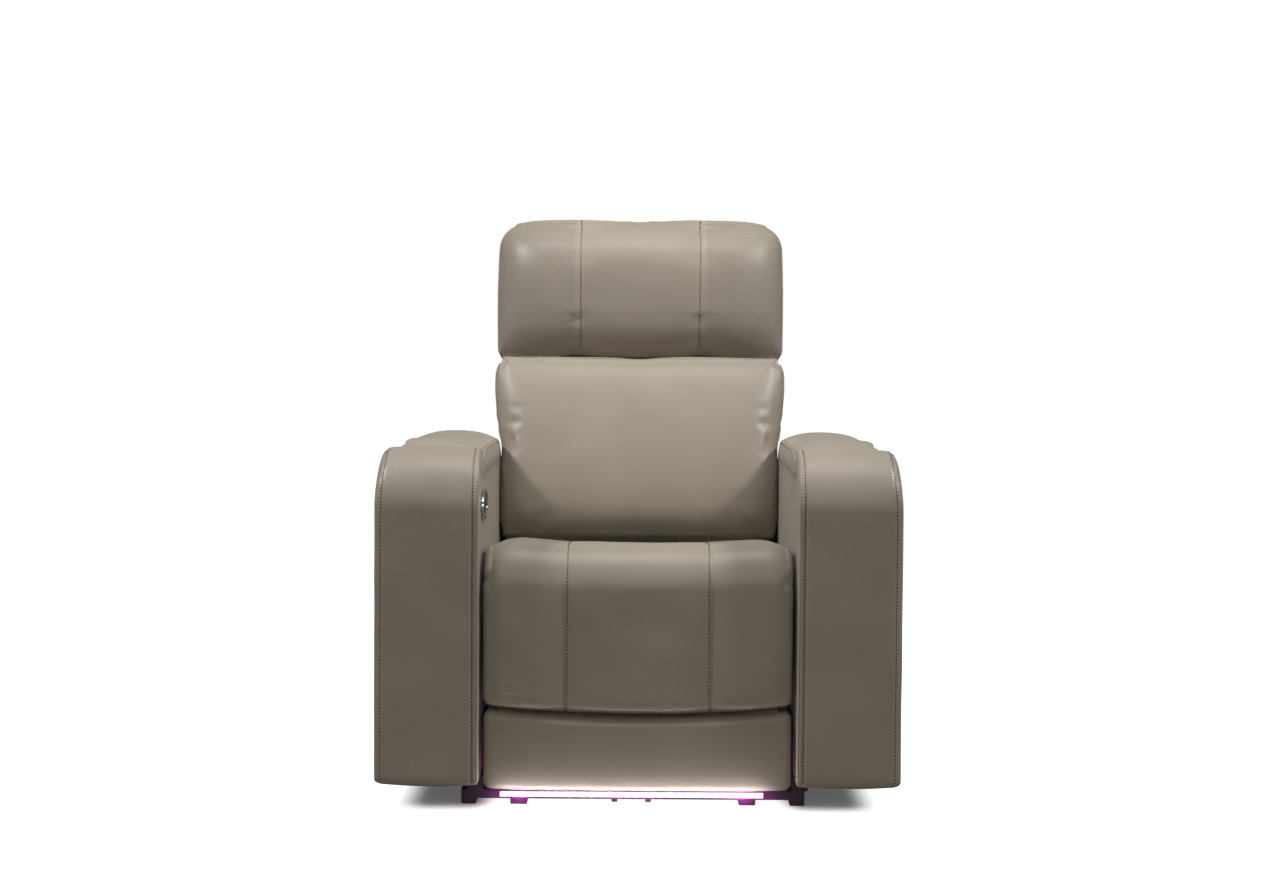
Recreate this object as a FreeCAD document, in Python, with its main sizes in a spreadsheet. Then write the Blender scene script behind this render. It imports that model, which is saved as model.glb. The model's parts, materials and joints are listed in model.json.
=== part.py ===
import FreeCAD, Part
import math
import os
import re
import Sketcher
from FreeCAD import Placement, Rotation, Vector

# Power recliner seat for a home cinema: the seat faces -Y, the floor is at Z 0, all sizes are in mm.
# Left is -X, the side that carries the control panel.

document = FreeCAD.newDocument("cinema_recliner")
sheet = document.addObject("Spreadsheet::Sheet", "sizes")

DRIVING_SIZES = {
    # Overall plan
    "front_y": -465, "rear_y": 315, "outer_x": 490, "inner_x": 295,
    # Arms
    "arm_foot": 56, "arm_top": 676, "arm_skin": 8, "board_gauge": 12,
    "arm_front_radius": 110, "arm_rear_radius": 190, "band_gauge": 18,
    "pad_front_y": -345, "pad_rear_y": 122, "pad_crown_z": 691, "pad_crown_shift": -20,
    # Base rails, feet and tracks
    "rail_shift": -8, "rail_half_length": 326, "rail_front_y": -372, "rail_back_y": 270,
    "rail_width": 40, "foot_rise": 12, "rail_rise": 17, "side_rail_width": 30,
    "clip_left_x": -43, "clip_right_x": 21, "clip_half": 5.5, "clip_drop": 6, "inlet_x": 198,
    "outer_foot_x": 312, "inner_foot_x": 217, "foot_width": 28, "foot_depth": 32,
    "post_gauge": 4, "post_width": 40, "post_front_y": -345, "post_back_y": 70,
    "track_low_z": 140, "track_rise": 30, "track_depth": 14, "track_gauge": 2.5,
    "track_front_y": -372, "track_back_y": 125,
    # Lamp strip
    "lamp_count": 30, "lamp_pitch": 16.667, "lamp_size": 5, "lamp_height": 1.6,
    "strip_width": 10, "strip_gauge": 1.4, "strip_length": 500, "strip_shift": -2.5,
    # Seat frame
    "plate_x": 271, "plate_gauge": 4, "arm_plate_x": 265,
    "beam_low_z": 300, "beam_top_z": 420, "beam_front_y": -366,
    "tube_size": 30, "front_tube_y": -345, "rear_tube_y": 60, "tube_low_z": 385,
    "leg_front_y": -285, "leg_back_y": 40, "leg_width": 50, "lower_bar_z": 205,
    "shoe_gap": 0.5, "shoe_width": 11,
    "window_front_y": -150, "window_low_z": 330, "window_rise": 40, "window_width": 60, "window_pitch": 75,
    "window_slant": 15,
    "strap_width": 55, "strap_gauge": 2, "strap_pitch": 100,
    # Legrest and its linkage
    "knee_y": -405, "knee_z": 435, "knee_lug": 18, "bolt_radius": 6,
    "shaft_y": -205, "shaft_z": 355, "shaft_radius": 10, "shaft_bore": 10.08, "shaft_square": 16,
    "link_offset_y": 34, "link_offset_z": -110, "link_radius": 12, "link_pin": 5, "link_bore": 5.4,
    "crank_radius": 60, "crank_angle": 42.5, "leg_drive_x": -70, "yoke_error": 1.0,
    "board_front_y": -402, "legrest_half": 288, "pad_low_z": 192, "panel_low_z": 45, "panel_top_z": 187,
    "pad_front": 35, "seam_x": 137, "seat_crown_z": 503, "seat_dip_z": 493, "seat_under_z": 441,
    "seat_rear_y": 114,
    # Back
    "hip_y": 232, "hip_z": 355, "back_lean": 15, "back_crank_radius": 90, "back_crank_angle": 19,
    "back_drive_x": 70, "hip_lug": 22, "post_size": 25, "post_top": 470,
    # Power drives
    "guide_half": 12, "guide_rise": 18, "motor_half": 24, "motor_length": 34, "motor_rise": 46,
    "can_radius": 19, "can_length": 58, "cheek_gauge": 6,
    # Covers of the back
    "cover_high": 560,
    # Headrest
    "nod_depth": -55, "nod_height": 545, "nod_arm_x": 151,
    "head_top": 788, "head_half": 305, "head_corner": 54,
    "head_seam_x": 133, "gearbox_size": 34, "gear_room": 27,
    # Controls
    "oval_y": -345, "oval_z": 570, "oval_long": 130, "oval_high": 57, "oval_rim": 6,
    "oval_sides": 40, "button_depth": 7.5, "button_clearance": 0.25, "socket_half": 5,
    "button_radius": 6.5, "button_sides": 16,
}

for row, (alias, value) in enumerate(DRIVING_SIZES.items(), start=1):
    sheet.set(f"A{row}", alias)
    sheet.set(f"B{row}", str(value))
    sheet.setAlias(f"B{row}", alias)
document.recompute()

HIP = Vector(0, sheet.hip_y, sheet.hip_z)
LEAN = Placement(HIP, Rotation(Vector(1, 0, 0), -sheet.back_lean))
X_AXIS = Vector(1, 0, 0)
SIDES = {"left": -1, "right": 1}
nodes = []


# Helpers that bind sizes to the sheet

def bound(text):
    """Put the sheet's name before every alias in an expression, leaving functions and units alone."""
    return re.sub(r"(?<![\w.])([a-z]+_[a-z_]+)", r"sizes.\1", str(text))


def value_of(text):
    """Work out an expression with the sheet's present values."""
    return float(sheet.evalExpression(bound(text)))


def keep(piece, label):
    """Name an object as a finished sub-part, to be written to its own file."""
    piece.Label = label
    nodes.append(piece)
    return piece


def block(name, low, high):
    """A box between two corners, each given as three expressions."""
    box = document.addObject("Part::Box", name)
    for size, start, end in zip(("Length", "Width", "Height"), low, high):
        box.setExpression(size, bound(f"({end}) - ({start})"))
    for axis, start in zip("xyz", low):
        box.setExpression(f"Placement.Base.{axis}", bound(start))
    return box


def rod(name, start, radius, length, axis=X_AXIS):
    """A cylinder from a start point along an axis, all given as expressions."""
    cylinder = document.addObject("Part::Cylinder", name)
    cylinder.Placement = Placement(Vector(0, 0, 0), Rotation(Vector(0, 0, 1), axis))
    cylinder.setExpression("Radius", bound(radius))
    cylinder.setExpression("Height", bound(length))
    for letter, place in zip("xyz", start):
        cylinder.setExpression(f"Placement.Base.{letter}", bound(place))
    return cylinder


def prism(name, start, sides, radius, length):
    """A regular prism along X from a start point, such as a hexagon head."""
    solid = document.addObject("Part::Prism", name)
    solid.Placement = Placement(Vector(0, 0, 0), Rotation(Vector(0, 0, 1), X_AXIS))
    solid.setExpression("Polygon", bound(sides))
    solid.setExpression("Circumradius", bound(radius))
    solid.setExpression("Height", bound(length))
    for letter, place in zip("xyz", start):
        solid.setExpression(f"Placement.Base.{letter}", bound(place))
    return solid


def joined(name, pieces):
    fuse = document.addObject("Part::MultiFuse", name)
    fuse.Shapes = pieces
    fuse.Refine = True
    return fuse


def cut(name, base, tool):
    result = document.addObject("Part::Cut", name)
    result.Base = base
    result.Tool = tool
    result.Refine = True
    return result


def group(name, pieces):
    """Several separate solids that share one node."""
    compound = document.addObject("Part::Compound", name)
    compound.Links = pieces
    return compound


def profile(name, corners, start_x, gauge, rounds=None):
    """A plate in the YZ plane: a sketched polygon, padded along X, with chosen corners rounded."""
    body = document.addObject("PartDesign::Body", name)
    sketch = body.newObject("Sketcher::SketchObject", name + "_sketch")
    plane = next(item for item in body.Origin.OriginFeatures if item.Role == "YZ_Plane")
    sketch.AttachmentSupport = [(plane, "")]
    sketch.MapMode = "FlatFace"
    sketch.setExpression("AttachmentOffset.Base.z", bound(start_x))
    places = [Vector(value_of(across), value_of(up), 0) for across, up in corners]
    count = len(places)
    for index, place in enumerate(places):
        sketch.addGeometry(Part.LineSegment(place, places[(index + 1) % count]), False)
    for index in range(count):
        sketch.addConstraint(Sketcher.Constraint("Coincident", index, 2, (index + 1) % count, 1))
    for index, corner in enumerate(corners):
        for kind, size, text in zip(("DistanceX", "DistanceY"), places[index], corner):
            number = sketch.addConstraint(Sketcher.Constraint(kind, -1, 1, index, 1, size))
            sketch.setExpression(f"Constraints[{number}]", bound(text))
    pad = body.newObject("PartDesign::Pad", name + "_pad")
    pad.Profile = sketch
    pad.setExpression("Length", bound(gauge))
    document.recompute()
    for index, radius in (rounds or {}).items():
        round_corner(body, places[index], radius, f"{name}_round_{index}")
    return body


def round_corner(body, corner, radius, name):
    """Round the one edge along X that passes through a corner of the profile."""
    padded = body.Tip
    for number, edge in enumerate(padded.Shape.Edges, start=1):
        first, last = edge.Vertexes[0].Point, edge.Vertexes[-1].Point
        along_x = abs(first.x - last.x) > 0.5
        at_corner = all(math.hypot(point.y - corner.x, point.z - corner.y) < 0.01 for point in (first, last))
        if along_x and at_corner:
            fillet = body.newObject("PartDesign::Fillet", name)
            fillet.Base = (padded, [f"Edge{number}"])
            fillet.setExpression("Radius", bound(radius))
            body.Tip = fillet
            document.recompute()
            return
    raise RuntimeError(f"no edge at corner for {name}")


def link(name, ends, radius, start_x, gauge, bores=()):
    """A flat link with round ends between two points of the YZ plane, and round holes."""
    body = document.addObject("PartDesign::Body", name)
    sketch = body.newObject("Sketcher::SketchObject", name + "_sketch")
    plane = next(item for item in body.Origin.OriginFeatures if item.Role == "YZ_Plane")
    sketch.AttachmentSupport = [(plane, "")]
    sketch.MapMode = "FlatFace"
    sketch.setExpression("AttachmentOffset.Base.z", bound(start_x))
    first, second = [Vector(value_of(across), value_of(up), 0) for across, up in ends]
    size = value_of(radius)
    along = (second - first).normalize()
    side = Vector(-along.y, along.x, 0) * size
    sketch.addGeometry(Part.Arc(first + side, first - along * size, first - side), False)
    sketch.addGeometry(Part.LineSegment(first - side, second - side), False)
    sketch.addGeometry(Part.Arc(second - side, second + along * size, second + side), False)
    sketch.addGeometry(Part.LineSegment(second + side, first + side), False)
    joints = ((0, first - side, 1), (1, second - side, 2), (2, second + side, 3), (3, first + side, 0))
    for index, place, following in joints:
        mine = nearest_end(sketch, index, place)
        other = nearest_end(sketch, following, place)
        sketch.addConstraint(Sketcher.Constraint("Tangent", index, mine, following, other))
    pinned_round(sketch, 0, ends[0], first, radius)
    pinned_round(sketch, 2, ends[1], second, radius)
    for across, up, bore in bores:
        centre = Vector(value_of(across), value_of(up), 0)
        hole = sketch.addGeometry(Part.Circle(centre, Vector(0, 0, 1), value_of(bore)), False)
        pinned_round(sketch, hole, (across, up), centre, bore)
    pad = body.newObject("PartDesign::Pad", name + "_pad")
    pad.Profile = sketch
    pad.setExpression("Length", bound(gauge))
    return body


def nearest_end(sketch, index, place):
    start = sketch.getPoint(index, 1)
    return 1 if (start - place).Length < 1e-6 else 2


def pinned_round(sketch, index, place, centre, radius):
    """Fix the centre and radius of an arc or circle of a sketch to expressions."""
    for kind, size, text in zip(("DistanceX", "DistanceY"), centre, place):
        number = sketch.addConstraint(Sketcher.Constraint(kind, -1, 1, index, 3, size))
        sketch.setExpression(f"Constraints[{number}]", bound(text))
    number = sketch.addConstraint(Sketcher.Constraint("Radius", index, value_of(radius)))
    sketch.setExpression(f"Constraints[{number}]", bound(radius))


def soft(name, sections):
    """A padded solid lofted straight from each section wire to the next."""
    feature = document.addObject("Part::Feature", name)
    feature.Shape = Part.makeLoft(sections, True, True)
    return feature


def solid_feature(name, shape, placement=None):
    feature = document.addObject("Part::Feature", name)
    feature.Shape = shape
    if placement is not None:
        feature.Placement = placement
    return feature


def wire_of(edges):
    return Part.Wire([edge.toShape() for edge in edges])


def mirrored(name, source):
    """The same piece on the other side of the seat."""
    mirror = document.addObject("Part::Mirroring", name)
    mirror.Source = source
    mirror.Normal = X_AXIS
    return mirror


def tilted(piece):
    """Lean a piece that is built upright about the hip pivot."""
    piece.Placement = LEAN.multiply(piece.Placement)
    return piece


# Base: two cross rails, two side rails, feet, posts and slide tracks

def cross_rail(name, front):
    outer = block(name + "_bar",
                  ("rail_shift - rail_half_length", front, "foot_rise"),
                  ("rail_shift + rail_half_length", f"{front} + rail_width", "foot_rise + rail_rise"))
    gauge = "track_gauge"
    hollow = block(name + "_hollow",
                   ("rail_shift - rail_half_length - 1", f"{front} + {gauge}", f"foot_rise + {gauge}"),
                   ("rail_shift + rail_half_length + 1", f"{front} + rail_width - {gauge}",
                    f"foot_rise + rail_rise - {gauge}"))
    return cut(name, outer, hollow)


def feet(name, offset, stretch):
    """Rubber glides under both cross rails, narrower at the floor."""
    pieces = []
    for end, sign in SIDES.items():
        for row, front in (("front", "rail_front_y"), ("back", "rail_back_y")):
            centre = f"rail_shift + {sign} * {offset}"
            half = f"(foot_width / 2 + {stretch})"
            glide = block(f"{name}_{end}_{row}", (f"{centre} - {half}", f"{front} + 4", "0"),
                          (f"{centre} + {half}", f"{front} + 4 + foot_depth", "foot_rise"))
            document.recompute()
            chamfer = document.addObject("Part::Chamfer", f"{name}_{end}_{row}_glide")
            chamfer.Base = glide
            low_edges = [number for number, edge in enumerate(glide.Shape.Edges, start=1)
                         if edge.BoundBox.ZMax < 0.01]
            chamfer.Edges = [(number, 2.0, 2.0) for number in low_edges]
            pieces.append(chamfer)
    return group(name, pieces)


def slide_track(name):
    """A C channel open towards the seat, with its front end left open for the shoe."""
    low, high = "track_low_z", "track_low_z + track_rise"
    outer_x = "inner_x - 1 - post_gauge"
    channel = block(name + "_bar", (f"{outer_x} - track_depth", "track_front_y", low),
                    (outer_x, "track_back_y", high))
    hollow = block(name + "_hollow",
                   (f"{outer_x} - track_depth - 1", "track_front_y - 1", f"{low} + track_gauge"),
                   (f"{outer_x} - track_gauge", "track_back_y - 6", f"{high} - track_gauge"))
    return cut(name, channel, hollow)


keep(cross_rail("base_back_bar", "rail_back_y"), "base_rear_rail")
side_rail = block("side_rail_right", ("inner_x - 1", "rail_front_y", "foot_rise + rail_rise"),
                  ("inner_x - 1 + side_rail_width", "rail_back_y + rail_width", "arm_foot"))
keep(group("side_rails", [side_rail, mirrored("side_rail_left", side_rail)]), "base_side_rails")
keep(feet("outer_glides", "outer_foot_x", "0"), "outer_feet")
keep(feet("inner_glides", "inner_foot_x", "2"), "inner_feet")

posts = []
for row, front in (("front", "post_front_y"), ("back", "post_back_y")):
    post = block(f"post_{row}", ("inner_x - 1 - post_gauge", front, "foot_rise + rail_rise"),
                 ("inner_x - 1", f"{front} + post_width", "track_low_z + track_rise"))
    posts += [post, mirrored(f"post_{row}_left", post)]
keep(group("posts", posts), "track_posts")
track = slide_track("track_right")
keep(group("tracks", [track, mirrored("track_left", track)]), "slide_tracks")

clips = []
for end in SIDES:
    clips.append(block(f"clip_{end}",
                       (f"clip_{end}_x - clip_half", "rail_front_y + 2", "foot_rise - clip_drop"),
                       (f"clip_{end}_x + clip_half", "rail_front_y + 12", "foot_rise")))
keep(group("front_rail", [cross_rail("base_front_bar", "rail_front_y")] + clips), "base_front_rail")

# Lamp strip on the face of the front rail

strip_middle = "(foot_rise + rail_rise / 2)"
strip_centre = "rail_shift + strip_shift"
strip = block("strip", (f"{strip_centre} - strip_length / 2", "rail_front_y - strip_gauge",
                        f"{strip_middle} - strip_width / 2"),
              (f"{strip_centre} + strip_length / 2", "rail_front_y", f"{strip_middle} + strip_width / 2"))
keep(strip, "lamp_strip")
lamps = []
for number in range(int(sheet.lamp_count)):
    centre = f"{strip_centre} + lamp_pitch * ({number} - (lamp_count - 1) / 2)"
    lamps.append(block(f"lamp_{number}",
                       (f"{centre} - lamp_size / 2", "rail_front_y - strip_gauge - lamp_height",
                        f"{strip_middle} - lamp_size / 2"),
                       (f"{centre} + lamp_size / 2", "rail_front_y - strip_gauge",
                        f"{strip_middle} + lamp_size / 2")))
keep(group("lamps", lamps), "lamp_chips")

# Power inlet on the rear rail

inlet_body = block("inlet_body", ("inlet_x - 18", "rail_back_y + 12", "foot_rise + rail_rise"),
                   ("inlet_x + 18", "rail_back_y + rail_width", "foot_rise + rail_rise + 22"))
inlet_socket = block("inlet_socket",
                     ("inlet_x - 8", "rail_back_y + rail_width - 15", "foot_rise + rail_rise + 7"),
                     ("inlet_x + 8", "rail_back_y + rail_width + 1", "foot_rise + rail_rise + 15"))
keep(cut("inlet", inlet_body, inlet_socket), "power_inlet")


# Arms: a carcass of boards under padded side panels, end bands and a pillow pad

def arm_outline(inset):
    """The side view of an arm, drawn in by a distance, and the two corners that are rounded."""
    corners = [(f"front_y + {inset}", "arm_foot"), (f"front_y + {inset}", f"arm_top - {inset}"),
               (f"rear_y - {inset}", f"arm_top - {inset}"), (f"rear_y - {inset}", "arm_foot")]
    rounds = {1: f"arm_front_radius - {inset}", 2: f"arm_rear_radius - {inset}"}
    return corners, rounds


def carcass_boards(side, sign):
    corners, rounds = arm_outline("band_gauge")
    inner = profile(f"arm_{side}_inner_board", corners, "inner_x + arm_skin", "board_gauge", rounds)
    outer = profile(f"arm_{side}_outer_board", corners, "outer_x - arm_skin - board_gauge", "board_gauge",
                    rounds)
    low_x, high_x = "inner_x + arm_skin + board_gauge", "outer_x - arm_skin - board_gauge"
    front = block(f"arm_{side}_front_board", (low_x, "front_y + band_gauge", "arm_foot"),
                  (high_x, "front_y + band_gauge + board_gauge", "arm_top - arm_front_radius - 4"))
    rear = block(f"arm_{side}_rear_board", (low_x, "rear_y - band_gauge - board_gauge", "arm_foot"),
                 (high_x, "rear_y - band_gauge", "arm_top - arm_rear_radius - 4"))
    top = block(f"arm_{side}_top_board",
                (low_x, "front_y + arm_front_radius + 4", "arm_top - band_gauge - 2 - board_gauge"),
                (high_x, "rear_y - arm_rear_radius - 4", "arm_top - band_gauge - 2"))
    floor = block(f"arm_{side}_floor_board",
                  (low_x, "front_y + band_gauge + board_gauge", "arm_foot"),
                  (high_x, "rear_y - band_gauge - board_gauge", "arm_foot + board_gauge"))
    pieces = [inner, outer, front, rear, top, floor]
    if sign < 0:
        pieces = [mirrored(f"{piece.Name}_mirror", piece) for piece in pieces]
    return group(f"arm_{side}_boards", pieces)


def side_panels(side, sign):
    """Thin padded leather panels over the inner and outer boards."""
    corners, rounds = arm_outline("0")
    inner = profile(f"arm_{side}_inner_skin", corners, "inner_x", "arm_skin", rounds)
    outer = profile(f"arm_{side}_outer_skin", corners, "outer_x - arm_skin", "arm_skin", rounds)
    pieces = [inner, outer]
    if sign < 0:
        recess = block("control_recess", ("inner_x - 1", "oval_y - 48", "oval_z - 8"),
                       ("inner_x + 5", "oval_y + 40", "oval_z + 8"))
        inner_cut = cut("arm_left_inner_cut", inner, recess)
        pieces = [mirrored("arm_left_inner_panel", inner_cut), mirrored("arm_left_outer_panel", outer)]
    return group(f"arm_{side}_panels", pieces)


def oval(name, start_x, gauge, long_size, high_size):
    """An upright oval plate with fine straight sides on the inner face of the arm, drawn on the +X side."""
    half_long, half_high = value_of(long_size) / 2, value_of(high_size) / 2
    sides = int(sheet.oval_sides)
    rim = []
    for number in range(sides + 1):
        turn = 2 * math.pi * (number % sides) / sides
        rim.append(Vector(value_of(start_x), sheet.oval_y + half_long * math.cos(turn),
                          sheet.oval_z + half_high * math.sin(turn)))
    return solid_feature(name, Part.Face(Part.makePolygon(rim)).extrude(Vector(value_of(gauge), 0, 0)))


def front_band(side, sign):
    """The padded band up the front of the arm and over its round top, as far as the pillow pad."""
    corners = [("front_y", "arm_foot"), ("front_y", "arm_top"), ("pad_front_y", "arm_top"),
               ("pad_front_y", "arm_top - band_gauge"), ("front_y + band_gauge", "arm_top - band_gauge"),
               ("front_y + band_gauge", "arm_foot")]
    rounds = {1: "arm_front_radius", 4: "arm_front_radius - band_gauge"}
    return band(f"arm_{side}_front", corners, rounds, sign)


def rear_band(side, sign):
    corners = [("rear_y", "arm_foot"), ("rear_y - band_gauge", "arm_foot"),
               ("rear_y - band_gauge", "arm_top - band_gauge"), ("pad_rear_y", "arm_top - band_gauge"),
               ("pad_rear_y", "arm_top"), ("rear_y", "arm_top")]
    rounds = {2: "arm_rear_radius - band_gauge", 5: "arm_rear_radius"}
    return band(f"arm_{side}_rear", corners, rounds, sign)


def band(name, corners, rounds, sign):
    body = profile(name, corners, "inner_x + arm_skin", "outer_x - inner_x - 2 * arm_skin", rounds)
    return mirrored(name + "_mirror", body) if sign < 0 else body


PILLOW_STATIONS = ((0.002, 12), (0.025, 6), (0.09, 1), (0.25, 0),
                   (0.75, 0), (0.91, 1), (0.975, 6), (0.998, 12))


def arm_pillow(name):
    """A pillow pad: boxy along its inner edge, domed towards its outer one, lower at both ends."""
    middle_x = (sheet.inner_x + sheet.outer_x) / 2
    reach = (sheet.outer_x - sheet.inner_x) / 2 - sheet.arm_skin - 1
    length = sheet.pad_rear_y - sheet.pad_front_y
    base = sheet.arm_top - sheet.band_gauge
    rise = sheet.pad_crown_z - base
    sections = []
    for along, drop in PILLOW_STATIONS:
        place = sheet.pad_front_y + along * length
        point = lambda across, height: Vector(middle_x + across, place, base + height)
        edge, shoulder = point(reach, 13 - drop), point(reach - 20, rise - 5 - drop)
        crown = point(sheet.pad_crown_shift, rise - drop)
        welt = point(-reach, rise - 14 - drop)
        sections.append(wire_of([
            Part.LineSegment(point(-reach, 0), point(reach, 0)),
            Part.LineSegment(point(reach, 0), edge),
            Part.Arc(edge, point(reach - 4, rise - 11 - drop), shoulder),
            Part.Arc(shoulder, crown, welt),
            Part.LineSegment(welt, point(-reach, 0))]))
    return soft(name, sections)


for side, sign in SIDES.items():
    keep(carcass_boards(side, sign), f"arm_{side}_frame")
    keep(side_panels(side, sign), f"arm_{side}_side_panels")
    keep(front_band(side, sign), f"arm_{side}_front_band")
    keep(rear_band(side, sign), f"arm_{side}_rear_band")
pillow = arm_pillow("arm_right_pillow")
keep(pillow, "arm_right_top_pad")
keep(mirrored("arm_left_pillow", pillow), "arm_left_top_pad")

# Control panel on the left arm: an oval ring, a dark face, five buttons and a charging socket

BUTTON_PLACES = {"recline": -40, "upright": -22, "headrest_up": -4, "headrest_down": 14, "lamp": 32}
bezel_outer = oval("bezel_outer", "inner_x - 4", "4", "oval_long", "oval_high")
bezel_inner = oval("bezel_inner", "inner_x - 5", "6", "oval_long - 2 * oval_rim",
                   "oval_high - 2 * oval_rim")
keep(mirrored("bezel", cut("bezel_ring", bezel_outer, bezel_inner)), "control_bezel")

face_plate = oval("face_plate", "inner_x - 2.5", "2.5", "oval_long - 2 * oval_rim - 0.4",
                  "oval_high - 2 * oval_rim - 0.4")
button_bores = []
for label, offset in BUTTON_PLACES.items():
    button_bores.append(prism(f"{label}_bore", ("inner_x - 4", f"oval_y + {offset}", "oval_z"),
                              "button_sides", "button_radius + button_clearance", "6"))
socket_hole = block("socket_hole", ("inner_x - 4", "oval_y + 44", "oval_z - socket_half"),
                    ("inner_x - 1", "oval_y + 50", "oval_z + socket_half"))
bored_face = cut("bored_face", face_plate, joined("face_holes", button_bores + [socket_hole]))
keep(mirrored("face", bored_face), "control_face")

for label, offset in BUTTON_PLACES.items():
    cap = prism(f"{label}_cap", ("inner_x - 5", f"oval_y + {offset}", "oval_z"), "button_sides",
                "button_radius", "button_depth")
    keep(mirrored(f"{label}_piece", cap), f"button_{label}")


# Seat frame: side plates with a knee lug at the front and a hip lug at the back

def window(name, number):
    """A lightening window with slanted ends, every second one upside down as in a truss."""
    start = f"(window_front_y + {number} * window_pitch)"
    low, high = "window_low_z", "(window_low_z + window_rise)"
    wide, narrow = (low, high) if number % 2 == 0 else (high, low)
    return profile(name, [(start, wide), (f"{start} + window_width", wide),
                          (f"{start} + window_width - window_slant", narrow),
                          (f"{start} + window_slant", narrow)],
                   "plate_x - 1", "plate_gauge + 2")


def side_plate(name):
    beam = profile(name + "_beam",
                   [("beam_front_y", "beam_low_z"), ("beam_front_y", "beam_top_z"),
                    ("hip_y - hip_lug / 2", "hip_z + hip_lug"), ("hip_y + hip_lug / 2", "hip_z + hip_lug"),
                    ("hip_y + hip_lug", "hip_z + hip_lug / 2"), ("hip_y + hip_lug", "hip_z - hip_lug / 2"),
                    ("hip_y + hip_lug / 2", "hip_z - hip_lug"), ("hip_y - 60", "beam_low_z")],
                   "plate_x", "plate_gauge")
    knee = link(name + "_knee", [("knee_y", "knee_z"), ("beam_front_y + 30", "beam_top_z - 25")],
                "knee_lug", "plate_x", "plate_gauge")
    bores = (("knee", "bolt_radius"), ("hip", "bolt_radius"), ("shaft", "shaft_bore"))
    holes = [rod(f"{name}_{pivot}_bore", ("plate_x - 1", f"{pivot}_y", f"{pivot}_z"), radius,
                 "plate_gauge + 2") for pivot, radius in bores]
    for number in range(3):
        holes.append(window(f"{name}_window_{number}", number))
    return cut(name, joined(name + "_blank", [beam, knee]), joined(name + "_holes", holes))


def square_tube(name, front, low):
    inside = "(tube_size - track_gauge)"
    outer = block(name + "_bar", ("-plate_x", front, low),
                  ("plate_x", f"{front} + tube_size", f"{low} + tube_size"))
    hollow = block(name + "_hollow", ("-plate_x - 1", f"{front} + track_gauge", f"{low} + track_gauge"),
                   ("plate_x + 1", f"{front} + {inside}", f"{low} + {inside}"))
    return cut(name, outer, hollow)


plate = side_plate("plate_right")
keep(group("plates", [plate, mirrored("plate_left", plate)]), "seat_side_plates")
keep(group("cross_tubes", [square_tube("front_tube", "front_tube_y", "tube_low_z"),
                           square_tube("rear_tube", "rear_tube_y", "tube_low_z")]), "seat_cross_tubes")
lower_bars = []
carriage_legs = []
shoes = []
for row, front in (("front", "leg_front_y"), ("back", "leg_back_y")):
    lower_bars.append(block(f"lower_bar_{row}", ("-plate_x", f"{front} + 10", "lower_bar_z"),
                            ("plate_x", f"{front} + 40", "lower_bar_z + 10")))
    leg = profile(f"leg_{row}", [(f"{front} + 8", "track_low_z + 4"), (front, "beam_low_z"),
                                 (f"{front} + leg_width", "beam_low_z"),
                                 (f"{front} + leg_width - 8", "track_low_z + 4")], "plate_x", "plate_gauge")
    carriage_legs += [leg, mirrored(f"leg_{row}_left", leg)]
    shoe = block(f"shoe_{row}",
                 ("plate_x + plate_gauge", f"{front} + 8", "track_low_z + track_gauge + shoe_gap"),
                 ("plate_x + plate_gauge + shoe_width", f"{front} + leg_width - 8",
                  "track_low_z + track_rise - track_gauge - shoe_gap"))
    shoes += [shoe, mirrored(f"shoe_{row}_left", shoe)]
keep(group("legs", carriage_legs), "carriage_legs")
keep(group("shoe_set", shoes), "slide_shoes")

straps = []
for number in range(5):
    middle = f"{number - 2} * strap_pitch"
    straps.append(block(f"seat_strap_{number}",
                        (f"{middle} - strap_width / 2", "front_tube_y", "tube_low_z + tube_size"),
                        (f"{middle} + strap_width / 2", "rear_tube_y + tube_size",
                         "tube_low_z + tube_size + strap_gauge")))
keep(group("seat_straps", straps), "seat_webbing")


def bolt(name, place_y, place_z):
    """A shouldered pivot bolt: shank through both plates, hexagon head outside."""
    shank = rod(name + "_shank", ("arm_plate_x", place_y, place_z), "bolt_radius",
                "plate_x + plate_gauge - arm_plate_x")
    head = prism(name + "_head", ("plate_x + plate_gauge", place_y, place_z), "6", "bolt_radius + 5", "4")
    return joined(name, [shank, head])


knee_bolt = bolt("knee_bolt_right", "knee_y", "knee_z")
hip_bolt = bolt("hip_bolt_right", "hip_y", "hip_z")
keep(group("bolts", [knee_bolt, mirrored("knee_bolt_left", knee_bolt),
                     hip_bolt, mirrored("hip_bolt_left", hip_bolt)]), "pivot_bolts")


# Power drives: a guide rail, a geared motor at one end and a yoke that slides on the rail

def drive_rail(name, place_x, start_y, end_y):
    low = "lower_bar_z + 10"
    return block(name, (f"{place_x} - guide_half", start_y, low),
                 (f"{place_x} + guide_half", end_y, f"{low} + guide_rise"))


def geared_motor(name, place_x, start_y, sign):
    """A square gearbox with a round motor can behind it, seated on the end of the rail."""
    low = "(lower_bar_z + 10 + guide_rise)"
    far_y = f"({start_y} + {sign} * motor_length)"
    first, last = (start_y, far_y) if sign > 0 else (far_y, start_y)
    box = block(name + "_box", (f"{place_x} - motor_half", first, low),
                (f"{place_x} + motor_half", last, f"{low} + motor_rise"))
    can = rod(name + "_can", (place_x, far_y, f"{low} + motor_rise / 2"), "can_radius", "can_length",
              Vector(0, sign, 0))
    return joined(name, [box, can])


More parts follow.
